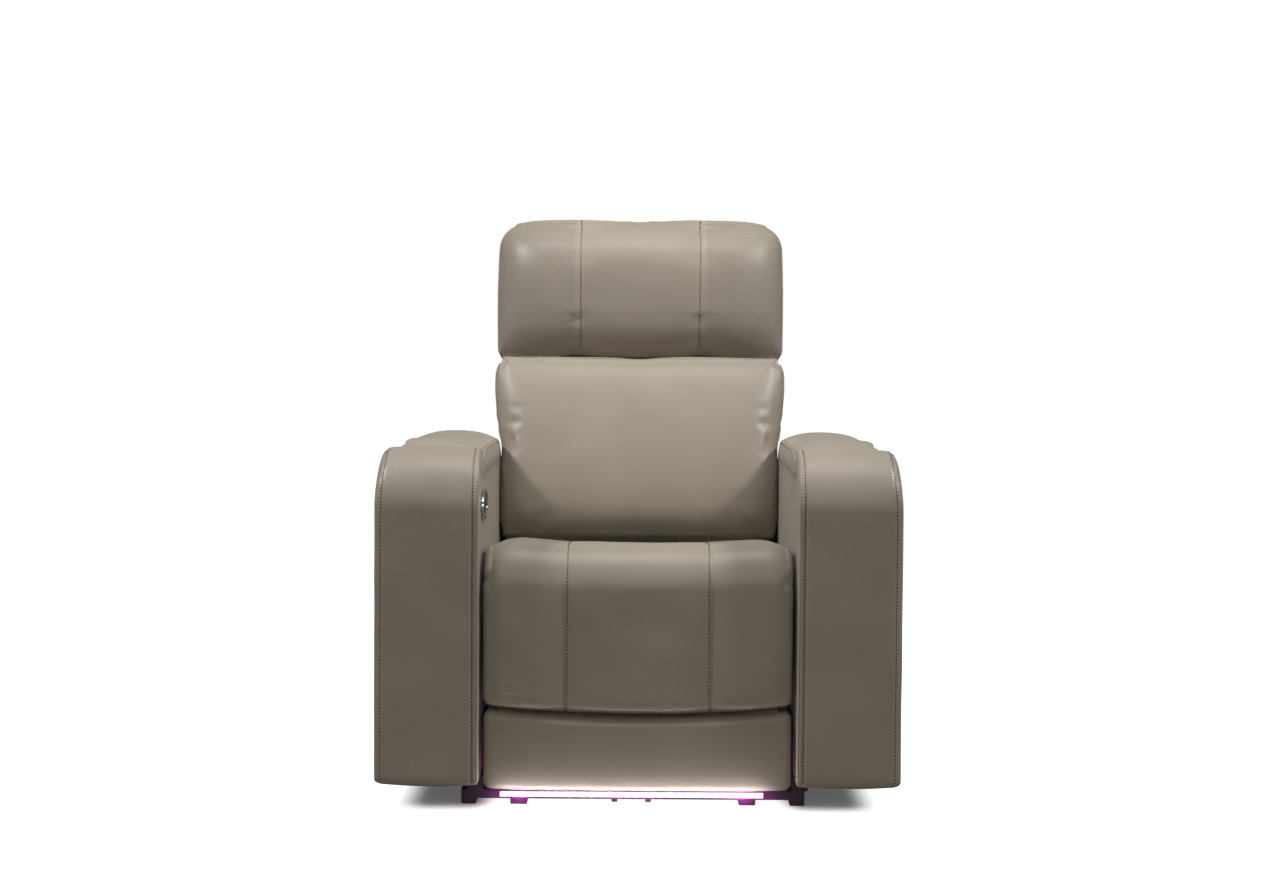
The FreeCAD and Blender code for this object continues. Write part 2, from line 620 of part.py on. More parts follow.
def yoke(name, place_x, pin_y, low_pin_z, high_pin_z, error, pin):
    """A saddle on the rail with two upright cheeks, each with a slot for the crank pin."""
    low = "lower_bar_z + 28.3"
    half = f"({pin} + {error} + 0.7)"
    saddle = block(name + "_saddle", (f"{place_x} - 20", f"{pin_y} - 20", low),
                   (f"{place_x} + 20", f"{pin_y} + 20", f"{low} + 10"))
    skirts = [block(f"{name}_skirt_{sign}", (f"{place_x} + {offset}", f"{pin_y} - 20", "lower_bar_z + 20"),
                    (f"{place_x} + {offset} + 7", f"{pin_y} + 20", low))
              for sign, offset in (("low", "-20"), ("high", "13"))]
    cheeks = [block(f"{name}_cheek_{sign}", (f"{place_x} + {offset}", f"{pin_y} - 16", f"{low} + 9"),
                    (f"{place_x} + {offset} + cheek_gauge", f"{pin_y} + 16", f"{high_pin_z} + {pin} + 12"))
              for sign, offset in (("low", "-20"), ("high", "20 - cheek_gauge"))]
    slot = block(name + "_slot", (f"{place_x} - 22", f"{pin_y} - {half}", f"{low_pin_z} - {pin} - 2"),
                 (f"{place_x} + 22", f"{pin_y} + {half}", f"{high_pin_z} + {pin} + 2"))
    return cut(name, joined(name + "_solid", [saddle] + skirts + cheeks), slot)


leg_pin_y = "(shaft_y + crank_radius * sin(crank_angle * 1 deg))"
leg_pin_high = "(shaft_z - crank_radius * cos(crank_angle * 1 deg))"
leg_pin_low = "(shaft_z - crank_radius)"
back_pin_y = "(hip_y + back_crank_radius * sin(back_crank_angle * 1 deg))"
back_pin_high = "(hip_z - back_crank_radius * cos(back_crank_angle * 1 deg))"
back_pin_low = "(hip_z - back_crank_radius)"

guide_rails = [drive_rail("leg_drive_rail", "leg_drive_x", "leg_front_y + 4", "leg_back_y + 46"),
               drive_rail("back_drive_rail", "back_drive_x", "leg_back_y + 4", "hip_y + 60")]
keep(joined("drive_weldment", lower_bars + guide_rails), "drive_subframe")
keep(geared_motor("leg_motor_unit", "leg_drive_x", "leg_back_y - 60", 1), "legrest_motor")
keep(geared_motor("back_motor_unit", "back_drive_x", "leg_back_y + 66", -1), "back_motor")
keep(yoke("leg_yoke", "leg_drive_x", f"({leg_pin_y} + yoke_error)", leg_pin_low, leg_pin_high, "yoke_error",
          "link_pin"), "legrest_yoke")
keep(yoke("back_yoke", "back_drive_x", f"({back_pin_y})", back_pin_low, back_pin_high, "0.5", "link_pin"),
     "back_yoke")

# Torque shaft: a square bar with round journals, two rockers and the drive crank, welded into one piece

ROCKER_X = "arm_plate_x - 12"
LINK_X = "arm_plate_x - 7"
rocker_end = ("shaft_y + link_offset_y", "shaft_z + link_offset_z")
knee_link_end = ("knee_y + link_offset_y", "knee_z + link_offset_z")
journal = rod("journal_right", (ROCKER_X, "shaft_y", "shaft_z"), "shaft_radius",
              "plate_x + plate_gauge + 2 - arm_plate_x + 12")
shaft_bar = block("shaft_bar",
                  (f"-({ROCKER_X})", "shaft_y - shaft_square / 2", "shaft_z - shaft_square / 2"),
                  (ROCKER_X, "shaft_y + shaft_square / 2", "shaft_z + shaft_square / 2"))
shaft_pieces = [shaft_bar, journal, mirrored("journal_left", journal)]
rocker = link("rocker_right", [("shaft_y", "shaft_z"), rocker_end], "link_radius + 3", ROCKER_X, "4")
rocker_pin = rod("rocker_pin_right", (ROCKER_X, *rocker_end), "link_pin", "10")
shaft_pieces += [rocker, mirrored("rocker_left", rocker),
                 rocker_pin, mirrored("rocker_pin_left", rocker_pin)]
shaft_pieces.append(link("drive_crank", [("shaft_y", "shaft_z"), (leg_pin_y, leg_pin_high)], "link_radius",
                         "leg_drive_x - 5", "10"))
shaft_pieces.append(rod("drive_crank_pin", ("leg_drive_x - 20", leg_pin_y, leg_pin_high), "link_pin", "40"))
keep(joined("torque_shaft_weldment", shaft_pieces), "torque_shaft")

coupler = link("coupler_right", [rocker_end, knee_link_end], "link_radius", LINK_X, "4",
               [(*rocker_end, "link_pin + 0.08"), (*knee_link_end, "link_bore")])
keep(group("couplers", [coupler, mirrored("coupler_left", coupler)]), "coupler_links")


# Legrest: two hinge arms, a board and two pads

def hinge_arm(name):
    upper = link(name + "_upper", [("knee_y", "knee_z"), knee_link_end], "knee_lug - 2", "arm_plate_x", "4")
    lower = block(name + "_lower",
                  ("arm_plate_x", "knee_y + link_offset_y - knee_lug + 2", "panel_low_z + 54"),
                  ("arm_plate_x + 4", "knee_y + link_offset_y + knee_lug - 2", "knee_z + link_offset_z"))
    pin = rod(name + "_pin", ("arm_plate_x - 8", *knee_link_end), "link_pin", "10")
    tab = block(name + "_tab", ("arm_plate_x - 30", "board_front_y + board_gauge", "230"),
                ("arm_plate_x + 4", "board_front_y + board_gauge + 4", "290"))
    foot_tab = block(name + "_foot_tab", ("arm_plate_x - 30", "board_front_y + board_gauge", "120"),
                     ("arm_plate_x + 4", "board_front_y + board_gauge + 4", "180"))
    bore = rod(name + "_bore", ("arm_plate_x - 1", "knee_y", "knee_z"), "bolt_radius + 0.08", "6")
    return cut(name, joined(name + "_solid", [upper, lower, pin, tab, foot_tab]), bore)


hinge_arm_right = hinge_arm("hinge_arm_right")
keep(group("hinge_arms", [hinge_arm_right, mirrored("hinge_arm_left", hinge_arm_right)]), "legrest_arms")
keep(block("legrest_ply", ("-arm_plate_x", "board_front_y", "panel_low_z + 16"),
           ("arm_plate_x", "board_front_y + board_gauge", "knee_z - 41")), "legrest_board")

SEAM = sheet.seam_x / sheet.legrest_half
HALF_STATIONS = ((SEAM - 0.045, 0), (SEAM, 5), (SEAM + 0.045, 0), (0.955, 0), (0.985, 5), (1.0, 14))
PAD_STATIONS = tuple((-place, inset) for place, inset in HALF_STATIONS[::-1]) + HALF_STATIONS


def legrest_section(across, inset):
    """Side view of the upper legrest pad, with its top rounded about the knee pivot."""
    reach = sheet.pad_front
    shift = inset * 0.6
    front, rear = sheet.knee_y - reach + shift, sheet.board_front_y
    low, top_z = sheet.pad_low_z + inset * 0.5, sheet.knee_z - shift
    lean = reach * math.sqrt(0.5)
    point = lambda depth, height: Vector(across, depth, height)
    step, hollow = point(rear, sheet.knee_z - 40), point(sheet.knee_y + reach, sheet.knee_z)
    return wire_of([
        Part.LineSegment(point(rear, low), step),
        Part.LineSegment(step, hollow),
        Part.LineSegment(hollow, point(sheet.knee_y + shift, top_z + reach)),
        Part.Arc(point(sheet.knee_y + shift, top_z + reach),
                 point(sheet.knee_y + shift - lean, top_z + lean), point(front, top_z)),
        Part.LineSegment(point(front, top_z), point(front, low + 14)),
        Part.Arc(point(front, low + 14), point(front + 4, low + 4), point(front + 14, low)),
        Part.LineSegment(point(front + 14, low), point(rear, low))])


def panel_section(across, inset):
    front, rear = sheet.knee_y - sheet.pad_front + 4 + inset * 0.6, sheet.board_front_y
    low, high = sheet.panel_low_z + inset * 0.5, sheet.panel_top_z - inset * 0.3
    point = lambda depth, height: Vector(across, depth, height)
    return wire_of([
        Part.LineSegment(point(rear, low), point(rear, high)),
        Part.LineSegment(point(rear, high), point(front + 10, high)),
        Part.Arc(point(front + 10, high), point(front + 3, high - 3), point(front, high - 10)),
        Part.LineSegment(point(front, high - 10), point(front, low + 16)),
        Part.Arc(point(front, low + 16), point(front + 5, low + 5), point(front + 16, low)),
        Part.LineSegment(point(front + 16, low), point(rear, low))])


def seat_section(across, inset):
    """Side view of the seat cushion: a rounded nose over the knee, a long crown, a rounded rear end."""
    top = sheet.seat_crown_z - inset
    dip = sheet.seat_dip_z - inset
    rear = sheet.seat_rear_y
    under = sheet.seat_under_z
    nose = sheet.knee_y - 20
    shelf = sheet.knee_z + sheet.pad_front + 3
    brow = shelf + 15 - inset
    point = lambda depth, height: Vector(across, depth, height)
    return wire_of([
        Part.LineSegment(point(rear, under), point(sheet.beam_front_y, under)),
        Part.LineSegment(point(sheet.beam_front_y, under), point(sheet.beam_front_y, shelf)),
        Part.LineSegment(point(sheet.beam_front_y, shelf), point(nose, shelf)),
        Part.LineSegment(point(nose, shelf), point(nose, brow)),
        Part.Arc(point(nose, brow), point(nose + 18, brow + 11), point(-352, top)),
        Part.Arc(point(-352, top), point(-130, dip + 3), point(rear - 22, dip - 12)),
        Part.Arc(point(rear - 22, dip - 12), point(rear - 6, dip - 20), point(rear, dip - 30)),
        Part.LineSegment(point(rear, dip - 30), point(rear, under))])


pad_half = sheet.legrest_half
upper_pad = soft("upper_pad_loft",
                 [legrest_section(place * pad_half, inset) for place, inset in PAD_STATIONS])
lug_room = block("lug_room_right", ("arm_plate_x - 9", "knee_y - 21", "knee_z - 72"),
                 ("legrest_half + 5", "knee_y + 60", "knee_z + 50"))
keep(cut("upper_pad", upper_pad, group("lug_rooms", [lug_room, mirrored("lug_room_left", lug_room)])),
     "legrest_upper_pad")
PANEL_STATIONS = ((-1.0, 12), (-0.97, 4), (-0.9, 0), (0.9, 0), (0.97, 4), (1.0, 12))
keep(soft("lower_panel", [panel_section(place * pad_half, inset) for place, inset in PANEL_STATIONS]),
     "legrest_lower_panel")
seat_loft = soft("seat_loft", [seat_section(place * pad_half, inset) for place, inset in PAD_STATIONS])
seat_foam = block("seat_foam",
                  ("-plate_x + 16", "front_tube_y - 18", "tube_low_z + tube_size + strap_gauge + 1"),
                  ("plate_x - 16", "rear_tube_y + 40", "seat_under_z + 24"))
keep(joined("seat_pad", [seat_loft, seat_foam]), "seat_cushion")


# Back: built upright with the hip pivot at the origin, then leaned back

def tilted_box(name, low, high):
    """A box in the leaning frame of the back."""
    corners = [Vector(*(value_of(text) for text in corner)) for corner in (low, high)]
    size = corners[1] - corners[0]
    return solid_feature(name, Part.makeBox(size.x, size.y, size.z, corners[0]), LEAN)


def back_plate(outline, start_x, gauge, bores=()):
    """A flat plate in the leaning frame: an outline of points, with round holes."""
    face = Part.Face(Part.makePolygon([Vector(start_x, *point) for point in outline + outline[:1]]))
    shape = face.extrude(Vector(gauge, 0, 0))
    for depth, height, radius in bores:
        shape = shape.cut(Part.makeCylinder(radius, gauge + 2, Vector(start_x - 1, depth, height), X_AXIS))
    return shape


post_outer = sheet.arm_plate_x
post_inner = post_outer - sheet.post_size
post_depth = sheet.post_size / 2
back_post = tilted_box("back_post_right", (post_inner, -post_depth, -20),
                       (post_outer, post_depth, sheet.post_top))
keep(group("back_posts_pair", [back_post, mirrored("back_post_left", back_post)]), "back_posts")

hip_lug = sheet.hip_lug
bracket_outline = [(-hip_lug, -hip_lug + 8), (-hip_lug + 8, -hip_lug), (hip_lug - 8, -hip_lug),
                   (hip_lug, -hip_lug + 8), (14, 150), (-14, 150), (-14, 60), (-hip_lug, 14)]
bracket = back_plate(bracket_outline, post_outer, 4, [(0, 0, sheet.bolt_radius + 0.08)])
bracket_right = solid_feature("hip_bracket_right", bracket, LEAN)
keep(group("hip_brackets", [bracket_right, mirrored("hip_bracket_left", bracket_right)]), "back_brackets")

crank_lean = math.radians(sheet.back_crank_angle + sheet.back_lean)
crank_reach = sheet.back_crank_radius
crank_pin = Vector(0, crank_reach * math.sin(crank_lean), -crank_reach * math.cos(crank_lean))
drive_x = sheet.back_drive_x
bar_low, bar_high = Vector(-post_inner, -post_depth, -12), Vector(post_inner, post_depth, 12)
lower_bar_shape = Part.makeBox(2 * post_inner, 2 * post_depth, 24, bar_low)
crank_face = Part.makeBox(10, 24, crank_reach + 12, Vector(drive_x - 5, -12, -crank_reach - 12))
crank_face.rotate(Vector(0, 0, 0), X_AXIS, math.degrees(crank_lean))
crank_pin_rod = Part.makeCylinder(sheet.link_pin, 40, crank_pin + Vector(drive_x - 20, 0, 0), X_AXIS)
keep(solid_feature("back_lower_bar_weldment", lower_bar_shape.fuse([crank_face, crank_pin_rod]), LEAN),
     "back_lower_bar")
keep(tilted_box("back_top_bar", (-post_inner, -post_depth, 440), (post_inner, post_depth, 465)),
     "back_upper_bar")
back_straps = [tilted_box(f"back_strap_{number}", (-post_inner - 10, -post_depth - 2, 110 + 80 * number),
                          (post_inner + 10, -post_depth, 160 + 80 * number)) for number in range(4)]
keep(group("back_strap_set", back_straps), "back_webbing")
keep(tilted_box("rear_panel", (-280, 40, 0), (280, 52, sheet.cover_high)), "back_rear_panel")
gusset = tilted_box("side_gusset_right", (281, -13, 4), (289, 52, 492))
keep(group("side_gussets", [gusset, mirrored("side_gusset_left", gusset)]), "back_side_gussets")


def back_section(height, half, front):
    """Plan view of the back cushion: flat rear, straight sides, round corners, crowned front."""
    rear = -16
    edge = front + 16
    point = lambda across, depth: Vector(across, depth, height)
    return wire_of([
        Part.LineSegment(point(-half, rear), point(half, rear)),
        Part.LineSegment(point(half, rear), point(half, edge + 22)),
        Part.Arc(point(half, edge + 22), point(half - 7, edge + 7), point(half - 24, edge)),
        Part.Arc(point(half - 24, edge), point(0, front), point(-half + 24, edge)),
        Part.Arc(point(-half + 24, edge), point(-half + 7, edge + 7), point(-half, edge + 22)),
        Part.LineSegment(point(-half, edge + 22), point(-half, rear))])


BACK_SECTIONS = ((85, 278, -100), (96, 288, -116), (120, 290, -127), (170, 290, -139), (235, 290, -143),
                 (300, 290, -138), (352, 290, -128), (385, 297, -120), (430, 297, -113), (480, 297, -99),
                 (500, 280, -70))
back_pad = soft("back_pad", [back_section(*section) for section in BACK_SECTIONS])
back_pad.Placement = LEAN
keep(back_pad, "back_cushion")


# Headrest: tilts forward about a pivot low in its front

def head_section(height, half, front):
    """Plan view of the headrest: three crowned panels with a seam each side of the middle one."""
    rear = 11.5
    seam = sheet.head_seam_x
    edge = min(front + 18, rear - 30)
    point = lambda across, depth: Vector(across, depth, height)
    half_front = [
        Part.LineSegment(point(half, rear), point(half, edge + 20)),
        Part.Arc(point(half, edge + 20), point(half - 6, edge + 6), point(half - 20, edge)),
        Part.Arc(point(half - 20, edge), point((half + seam) / 2, front + 3), point(seam, front + 6))]
    other_front = [
        Part.Arc(point(-seam, front + 6), point(-(half + seam) / 2, front + 3), point(-half + 20, edge)),
        Part.Arc(point(-half + 20, edge), point(-half + 6, edge + 6), point(-half, edge + 20)),
        Part.LineSegment(point(-half, edge + 20), point(-half, rear))]
    middle = Part.Arc(point(seam, front + 6), point(0, front), point(-seam, front + 6))
    back_line = Part.LineSegment(point(-half, rear), point(half, rear))
    return wire_of([back_line] + half_front + [middle] + other_front)


corner = sheet.head_corner
corner_low = sheet.head_top - corner
HEAD_FRONTS = ((505, 298, -60), (518, 305, -84), (550, 305, -103), (610, 305, -118), (675, 305, -115),
               (corner_low, 305, -97))
CORNER_FRONTS = ((42, -78), (80, -50))
head_sections = [head_section(*section) for section in HEAD_FRONTS]
for degrees, front in CORNER_FRONTS:
    turn = math.radians(degrees)
    half = sheet.head_half - corner + corner * math.cos(turn)
    head_sections.append(head_section(corner_low + corner * math.sin(turn), half, front))
head_solid = Part.makeLoft(head_sections, True, True)
nod_y, nod_z, nod_arm_x = sheet.nod_depth, sheet.nod_height, sheet.nod_arm_x
for sign in SIDES.values():
    slot = Part.makeBox(17, 100, 96, Vector(sign * (nod_arm_x - 1) - 8.5, nod_y - 22, 500))
    head_solid = head_solid.cut(slot)
gear_start = 96
gear_room = Part.makeCylinder(sheet.gear_room, 46, Vector(gear_start, nod_y, nod_z), X_AXIS)
gear_exit = Part.makeBox(46, 90, 72, Vector(gear_start, nod_y, 500))
head_solid = head_solid.cut(gear_room.fuse(gear_exit))
keep(solid_feature("head_pad", head_solid, LEAN), "headrest_cushion")
keep(tilted_box("head_board", (-280, 12, 560), (280, 24, 745)), "headrest_board")
keep(tilted_box("head_rear", (-296, 24.5, 525), (296, 35, 770)), "headrest_rear_panel")

nod_arm_outline = [(nod_y - 10, nod_z - 8), (nod_y + 8, nod_z - 12), (11, 570), (12, 590), (-8, 590),
                   (nod_y - 10, nod_z + 10)]
nod_arm = back_plate(nod_arm_outline, nod_arm_x, 3, [(nod_y, nod_z, sheet.link_pin + 0.08)])
nod_arm_right = solid_feature("nod_arm_right", nod_arm, LEAN)
keep(group("nod_arms", [nod_arm_right, mirrored("nod_arm_left", nod_arm_right)]), "headrest_arms")

nod_bracket_outline = [(-post_depth, 465), (-post_depth, 506), (nod_y - 10, nod_z - 6),
                       (nod_y - 10, nod_z + 8), (nod_y + 8, nod_z + 10), (post_depth, 505),
                       (post_depth, 465)]
nod_bracket = back_plate(nod_bracket_outline, nod_arm_x - 5, 3)
nod_pin = Part.makeCylinder(sheet.link_pin, 9, Vector(nod_arm_x - 5, nod_y, nod_z), X_AXIS)
gearbox_half = sheet.gearbox_size / 2
gearbox = Part.makeBox(40, sheet.gearbox_size, sheet.gearbox_size,
                       Vector(gear_start + 3, nod_y - gearbox_half, nod_z - gearbox_half))
nod_bracket_right = solid_feature("nod_bracket_right", nod_bracket.fuse(nod_pin), LEAN)
keep(group("nod_brackets", [nod_bracket_right, mirrored("nod_bracket_left", nod_bracket_right)]),
     "headrest_brackets")
hexagon = [Vector(139, nod_y + 6 * math.cos(turn), nod_z + 6 * math.sin(turn))
           for turn in (math.radians(60 * corner) for corner in range(7))]
gear_shaft = Part.Face(Part.makePolygon(hexagon)).extrude(Vector(7, 0, 0))
keep(solid_feature("nod_motor", gearbox.fuse(gear_shaft), LEAN), "headrest_motor")


# Check every object, then write each sub-part to its own file

def check_and_write():
    document.recompute()
    for item in document.Objects:
        if "Invalid" in item.State or "Error" in item.State:
            raise RuntimeError(f"{item.Name} failed: {item.State}")
    labels = [piece.Label for piece in nodes]
    if len(set(labels)) != len(labels):
        raise RuntimeError("two sub-parts share a label")
    os.makedirs("parts", exist_ok=True)
    for piece in nodes:
        shape = piece.Shape
        if shape.isNull() or not shape.isValid() or not shape.Solids:
            raise RuntimeError(f"{piece.Label} has no valid solid")
        shape.exportStep(f"parts/{piece.Label}.step")
    whole = FreeCAD.BoundBox()
    for piece in nodes:
        whole.add(piece.Shape.BoundBox)
    print(len(nodes), "nodes, overall box", whole)


check_and_write()
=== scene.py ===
import bmesh
import bpy
import json
import numpy as np
from math import copysign, cos, exp, pi, radians, sin, sqrt, tan
from mathutils import Euler, Matrix, Vector, noise
from mathutils.bvhtree import BVHTree
from mathutils.kdtree import KDTree


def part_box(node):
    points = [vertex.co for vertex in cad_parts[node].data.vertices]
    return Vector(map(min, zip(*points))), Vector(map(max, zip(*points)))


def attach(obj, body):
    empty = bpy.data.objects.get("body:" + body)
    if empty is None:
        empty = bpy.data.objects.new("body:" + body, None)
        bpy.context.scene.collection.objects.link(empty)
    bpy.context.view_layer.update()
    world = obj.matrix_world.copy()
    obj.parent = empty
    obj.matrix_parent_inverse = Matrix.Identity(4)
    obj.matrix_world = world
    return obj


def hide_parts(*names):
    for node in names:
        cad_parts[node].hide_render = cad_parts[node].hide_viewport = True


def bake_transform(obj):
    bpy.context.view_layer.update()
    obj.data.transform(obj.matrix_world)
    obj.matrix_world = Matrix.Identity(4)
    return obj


# A leather power recliner for a home cinema, in metres: the seat faces -Y and the floor is at Z 0.

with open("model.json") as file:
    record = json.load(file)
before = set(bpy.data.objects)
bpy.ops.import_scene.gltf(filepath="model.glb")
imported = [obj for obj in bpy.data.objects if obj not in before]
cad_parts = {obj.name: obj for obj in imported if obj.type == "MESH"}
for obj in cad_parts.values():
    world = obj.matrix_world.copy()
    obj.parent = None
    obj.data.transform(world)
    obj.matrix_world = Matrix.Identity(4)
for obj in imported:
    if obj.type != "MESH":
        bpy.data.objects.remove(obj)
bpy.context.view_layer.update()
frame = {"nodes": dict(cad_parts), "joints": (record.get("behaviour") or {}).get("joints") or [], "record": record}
JOINTS = {joint["name"]: joint for joint in frame["joints"]}

# Places taken from the frame

ARM_LOW, ARM_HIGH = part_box("arm_right_side_panels")
FRONT_Y, REAR_Y = ARM_LOW[1], ARM_HIGH[1]
INNER_X, OUTER_X = ARM_LOW[0], ARM_HIGH[0]
ARM_FOOT_Z, ARM_TOP_Z = ARM_LOW[2], ARM_HIGH[2]
KNEE_Y = JOINTS["legrest_lift"]["pos_m"][1]
HIP_Y, HIP_Z = JOINTS["back_recline"]["pos_m"][1:]
BACK_LEAN = radians(15)
LAMPS_LOW, LAMPS_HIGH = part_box("lamp_chips")
LAMP_COUNT = 30
SEAM_X = 0.137
HEAD_SEAM_X = 0.133
SIDES = (("left", -1), ("right", 1))
COVER = "upholstery_leather"
SCENE = bpy.context.scene


# Curves and outlines

def spline(keys, place):
    """A smooth curve through (place, value) keys, flat beyond both ends."""
    places, values = np.array(keys, float).T
    slopes = np.gradient(values, places)
    place = np.clip(place, places[0], places[-1])
    index = np.clip(np.searchsorted(places, place) - 1, 0, len(places) - 2)
    span = places[index + 1] - places[index]
    step = (place - places[index]) / span
    start_weight = 2 * step ** 3 - 3 * step ** 2 + 1
    end_weight = 3 * step ** 2 - 2 * step ** 3
    return (start_weight * values[index] + end_weight * values[index + 1]
            + (step ** 3 - 2 * step ** 2 + step) * span * slopes[index]
            + (step ** 3 - step ** 2) * span * slopes[index + 1])


def rounded_outline(corners, spacing):
    """Points round a closed polygon of (across, up, corner radius), evenly spaced along it."""
    points = []
    count = len(corners)
    for index in range(count):
        here = Vector(corners[index][:2])
        before = (Vector(corners[index - 1][:2]) - here).normalized()
        after = (Vector(corners[(index + 1) % count][:2]) - here).normalized()
        radius = corners[index][2]
        half_angle = before.angle(after) / 2
        reach = radius / tan(half_angle)
        start, end = here + before * reach, here + after * reach
        centre = here + (before + after).normalized() * radius / sin(half_angle)
        turn = (start - centre).angle_signed(end - centre)
        steps = max(3, int(abs(turn) * radius / spacing) + 2)
        for step in range(steps):
            angle = -turn * step / (steps - 1)
            arm = start - centre
            points.append(centre + Vector((arm.x * cos(angle) - arm.y * sin(angle),
                                           arm.x * sin(angle) + arm.y * cos(angle))))
    return resampled(np.array(points), spacing, closed=True)


def resampled(points, spacing, closed=False, count=None):
    """Points evenly spaced along a polyline."""
    if closed:
        points = np.vstack([points, points[:1]])
    lengths = np.r_[0, np.cumsum(np.linalg.norm(np.diff(points, axis=0), axis=1))]
    number = count or max(4, int(round(lengths[-1] / spacing)))
    places = np.linspace(0, lengths[-1], number + 1)
    if closed:
        places = places[:-1]
    return np.column_stack([np.interp(places, lengths, points[:, axis]) for axis in range(points.shape[1])])


def outward_normals(ring):
    """Outward normals of a closed ring of 2D points that turns anticlockwise or clockwise."""
    tangent = np.roll(ring, -1, axis=0) - np.roll(ring, 1, axis=0)
    tangent /= np.linalg.norm(tangent, axis=1)[:, None]
    normals = np.column_stack([tangent[:, 1], -tangent[:, 0]])
    following = np.roll(ring, -1, axis=0)
    area = np.sum(ring[:, 0] * following[:, 1] - following[:, 0] * ring[:, 1])
    return normals if area > 0 else -normals


# Meshes

def new_mesh(name, vertices, faces):
    mesh = bpy.data.meshes.new(name)
    mesh.from_pydata([tuple(vertex) for vertex in vertices], [], faces)
    mesh.validate()
    mesh.update()
    piece = bpy.data.objects.new(name, mesh)
    SCENE.collection.objects.link(piece)
    mesh.polygons.foreach_set("use_smooth", [True] * len(mesh.polygons))
    return piece


def closed_mesh(name, vertices, faces):
    """A mesh whose faces all look outwards."""
    piece = new_mesh(name, vertices, faces)
    work = bmesh.new()
    work.from_mesh(piece.data)
    bmesh.ops.recalc_face_normals(work, faces=work.faces)
    work.to_mesh(piece.data)
    work.free()
    return piece


def ring_faces(rings, size, base=0):
    """The four-sided faces between neighbouring rings of points."""
    faces = []
    for ring in range(rings - 1):
        low = base + ring * size
        for index in range(size):
            following = (index + 1) % size
            faces.append((low + index, low + following, low + size + following, low + size + index))
    return faces


def loft(name, rings, fan=True):
    """A closed surface through rings of equal length; the ends close on a point or with one face."""
    rings = np.array(rings)
    count, size = rings.shape[:2]
    vertices = rings.reshape(-1, 3)
    faces = ring_faces(count, size)
    last = (count - 1) * size
    if fan:
        vertices = np.vstack([vertices, rings[0].mean(axis=0), rings[-1].mean(axis=0)])
        start_point, end_point = count * size, count * size + 1
        for index in range(size):
            following = (index + 1) % size
            faces.append((start_point, following, index))
            faces.append((end_point, last + index, last + following))
    else:
        faces.append(tuple(range(size - 1, -1, -1)))
        faces.append(tuple(range(last, last + size)))
    return closed_mesh(name, vertices, faces)


def cap_shapes(flat, inset, radius, bulge, round_steps, flat_steps):
    """The (outline, step outwards) of each ring that closes an end, from its rim inwards."""
    normals = outward_normals(flat)
    shapes = []
    for step in range(1, round_steps + 1):
        angle = pi / 2 * step / round_steps
        shapes.append((flat - normals * inset * (1 - cos(angle)), radius * sin(angle)))
    last = flat - normals * inset
    middle = flat.mean(axis=0)
    for step in range(1, flat_steps + 1):
        shrink = 1 - 0.97 * step / flat_steps
        shapes.append((middle + (last - middle) * shrink, radius + bulge * (1 - shrink ** 3)))
    return shapes


def capped_across(ring_at, stations, low_end, high_end, bulge, round_steps=6, flat_steps=0):
    """Rings in YZ planes along X; each end is (radius across, inset of the outline) and may swell."""
    def upright(shape, place):
        return np.column_stack([np.full(len(shape), place), shape])

    steps = (bulge, round_steps, flat_steps)
    ends = ((-1, stations[0], low_end), (1, stations[-1], high_end))
    low, high = [[upright(shape, place + side * step)
                  for shape, step in cap_shapes(ring_at(place), inset, radius, *steps)]
                 for side, place, (radius, inset) in ends]
    return low[::-1] + [upright(ring_at(place), place) for place in stations] + high


def normals_of(piece):
    data = np.zeros(len(piece.data.vertices) * 3)
    piece.data.vertices.foreach_get("normal", data)
    return data.reshape(-1, 3)


def places_of(piece):
    data = np.zeros(len(piece.data.vertices) * 3)
    piece.data.vertices.foreach_get("co", data)
    return data.reshape(-1, 3)


def move_to(piece, places):
    piece.data.vertices.foreach_set("co", np.asarray(places, float).ravel())
    piece.data.update()


def lift_by(piece, lifts):
    """Move each vertex along its normal."""
    move_to(piece, places_of(piece) + normals_of(piece) * lifts[:, None])


def undulate(piece, height, scale, seed):
    """Low, broad unevenness of leather over foam."""
    offset = Vector((seed * 7.3, seed * 3.1, seed * 1.7))
    lifts = [noise.noise(Vector(place) * scale + offset) * height
             + noise.noise(Vector(place) * scale * 2.7 + offset) * height * 0.35
             for place in places_of(piece)]
    lift_by(piece, np.array(lifts))


def press_groove(piece, path, depth, width):
    """Press a rounded groove into a surface along a path of points."""
    tree = KDTree(len(path))
    for index, point in enumerate(path):
        tree.insert(point, index)
    tree.balance()
    lifts = np.zeros(len(piece.data.vertices))
    for index, place in enumerate(places_of(piece)):
        distance = tree.find(place)[2]
        if distance < 4 * width:
            lifts[index] = -depth * exp(-(distance / width) ** 2)
    lift_by(piece, lifts)


def pinch(piece, centre, reach, depth, folds, turn=0.0, stretch=(1, 1, 1)):
    """A gathered spot with creases that run out from it."""
    places, normals = places_of(piece), normals_of(piece)
    away = (places - np.array(centre)) / np.array(stretch)
    distance = np.linalg.norm(away, axis=1)
    near = distance < 2.6 * reach
    normal = normals[np.argmin(distance)]
    side = np.cross(normal, (0.0, 0.0, 1.0))
    side /= np.linalg.norm(side) + 1e-9
    up = np.cross(side, normal)
    angle = np.arctan2(away @ up, away @ side) + turn
    fade = np.exp(-(distance / reach) ** 2)
    band = np.exp(-((distance - 0.9 * reach) / reach) ** 2)
    ripple = np.cos(folds * angle + 2.0 * np.sin(2 * angle)) * band
    lifts = np.where(near, -depth * fade + 0.28 * depth * ripple, 0)
    lift_by(piece, lifts)


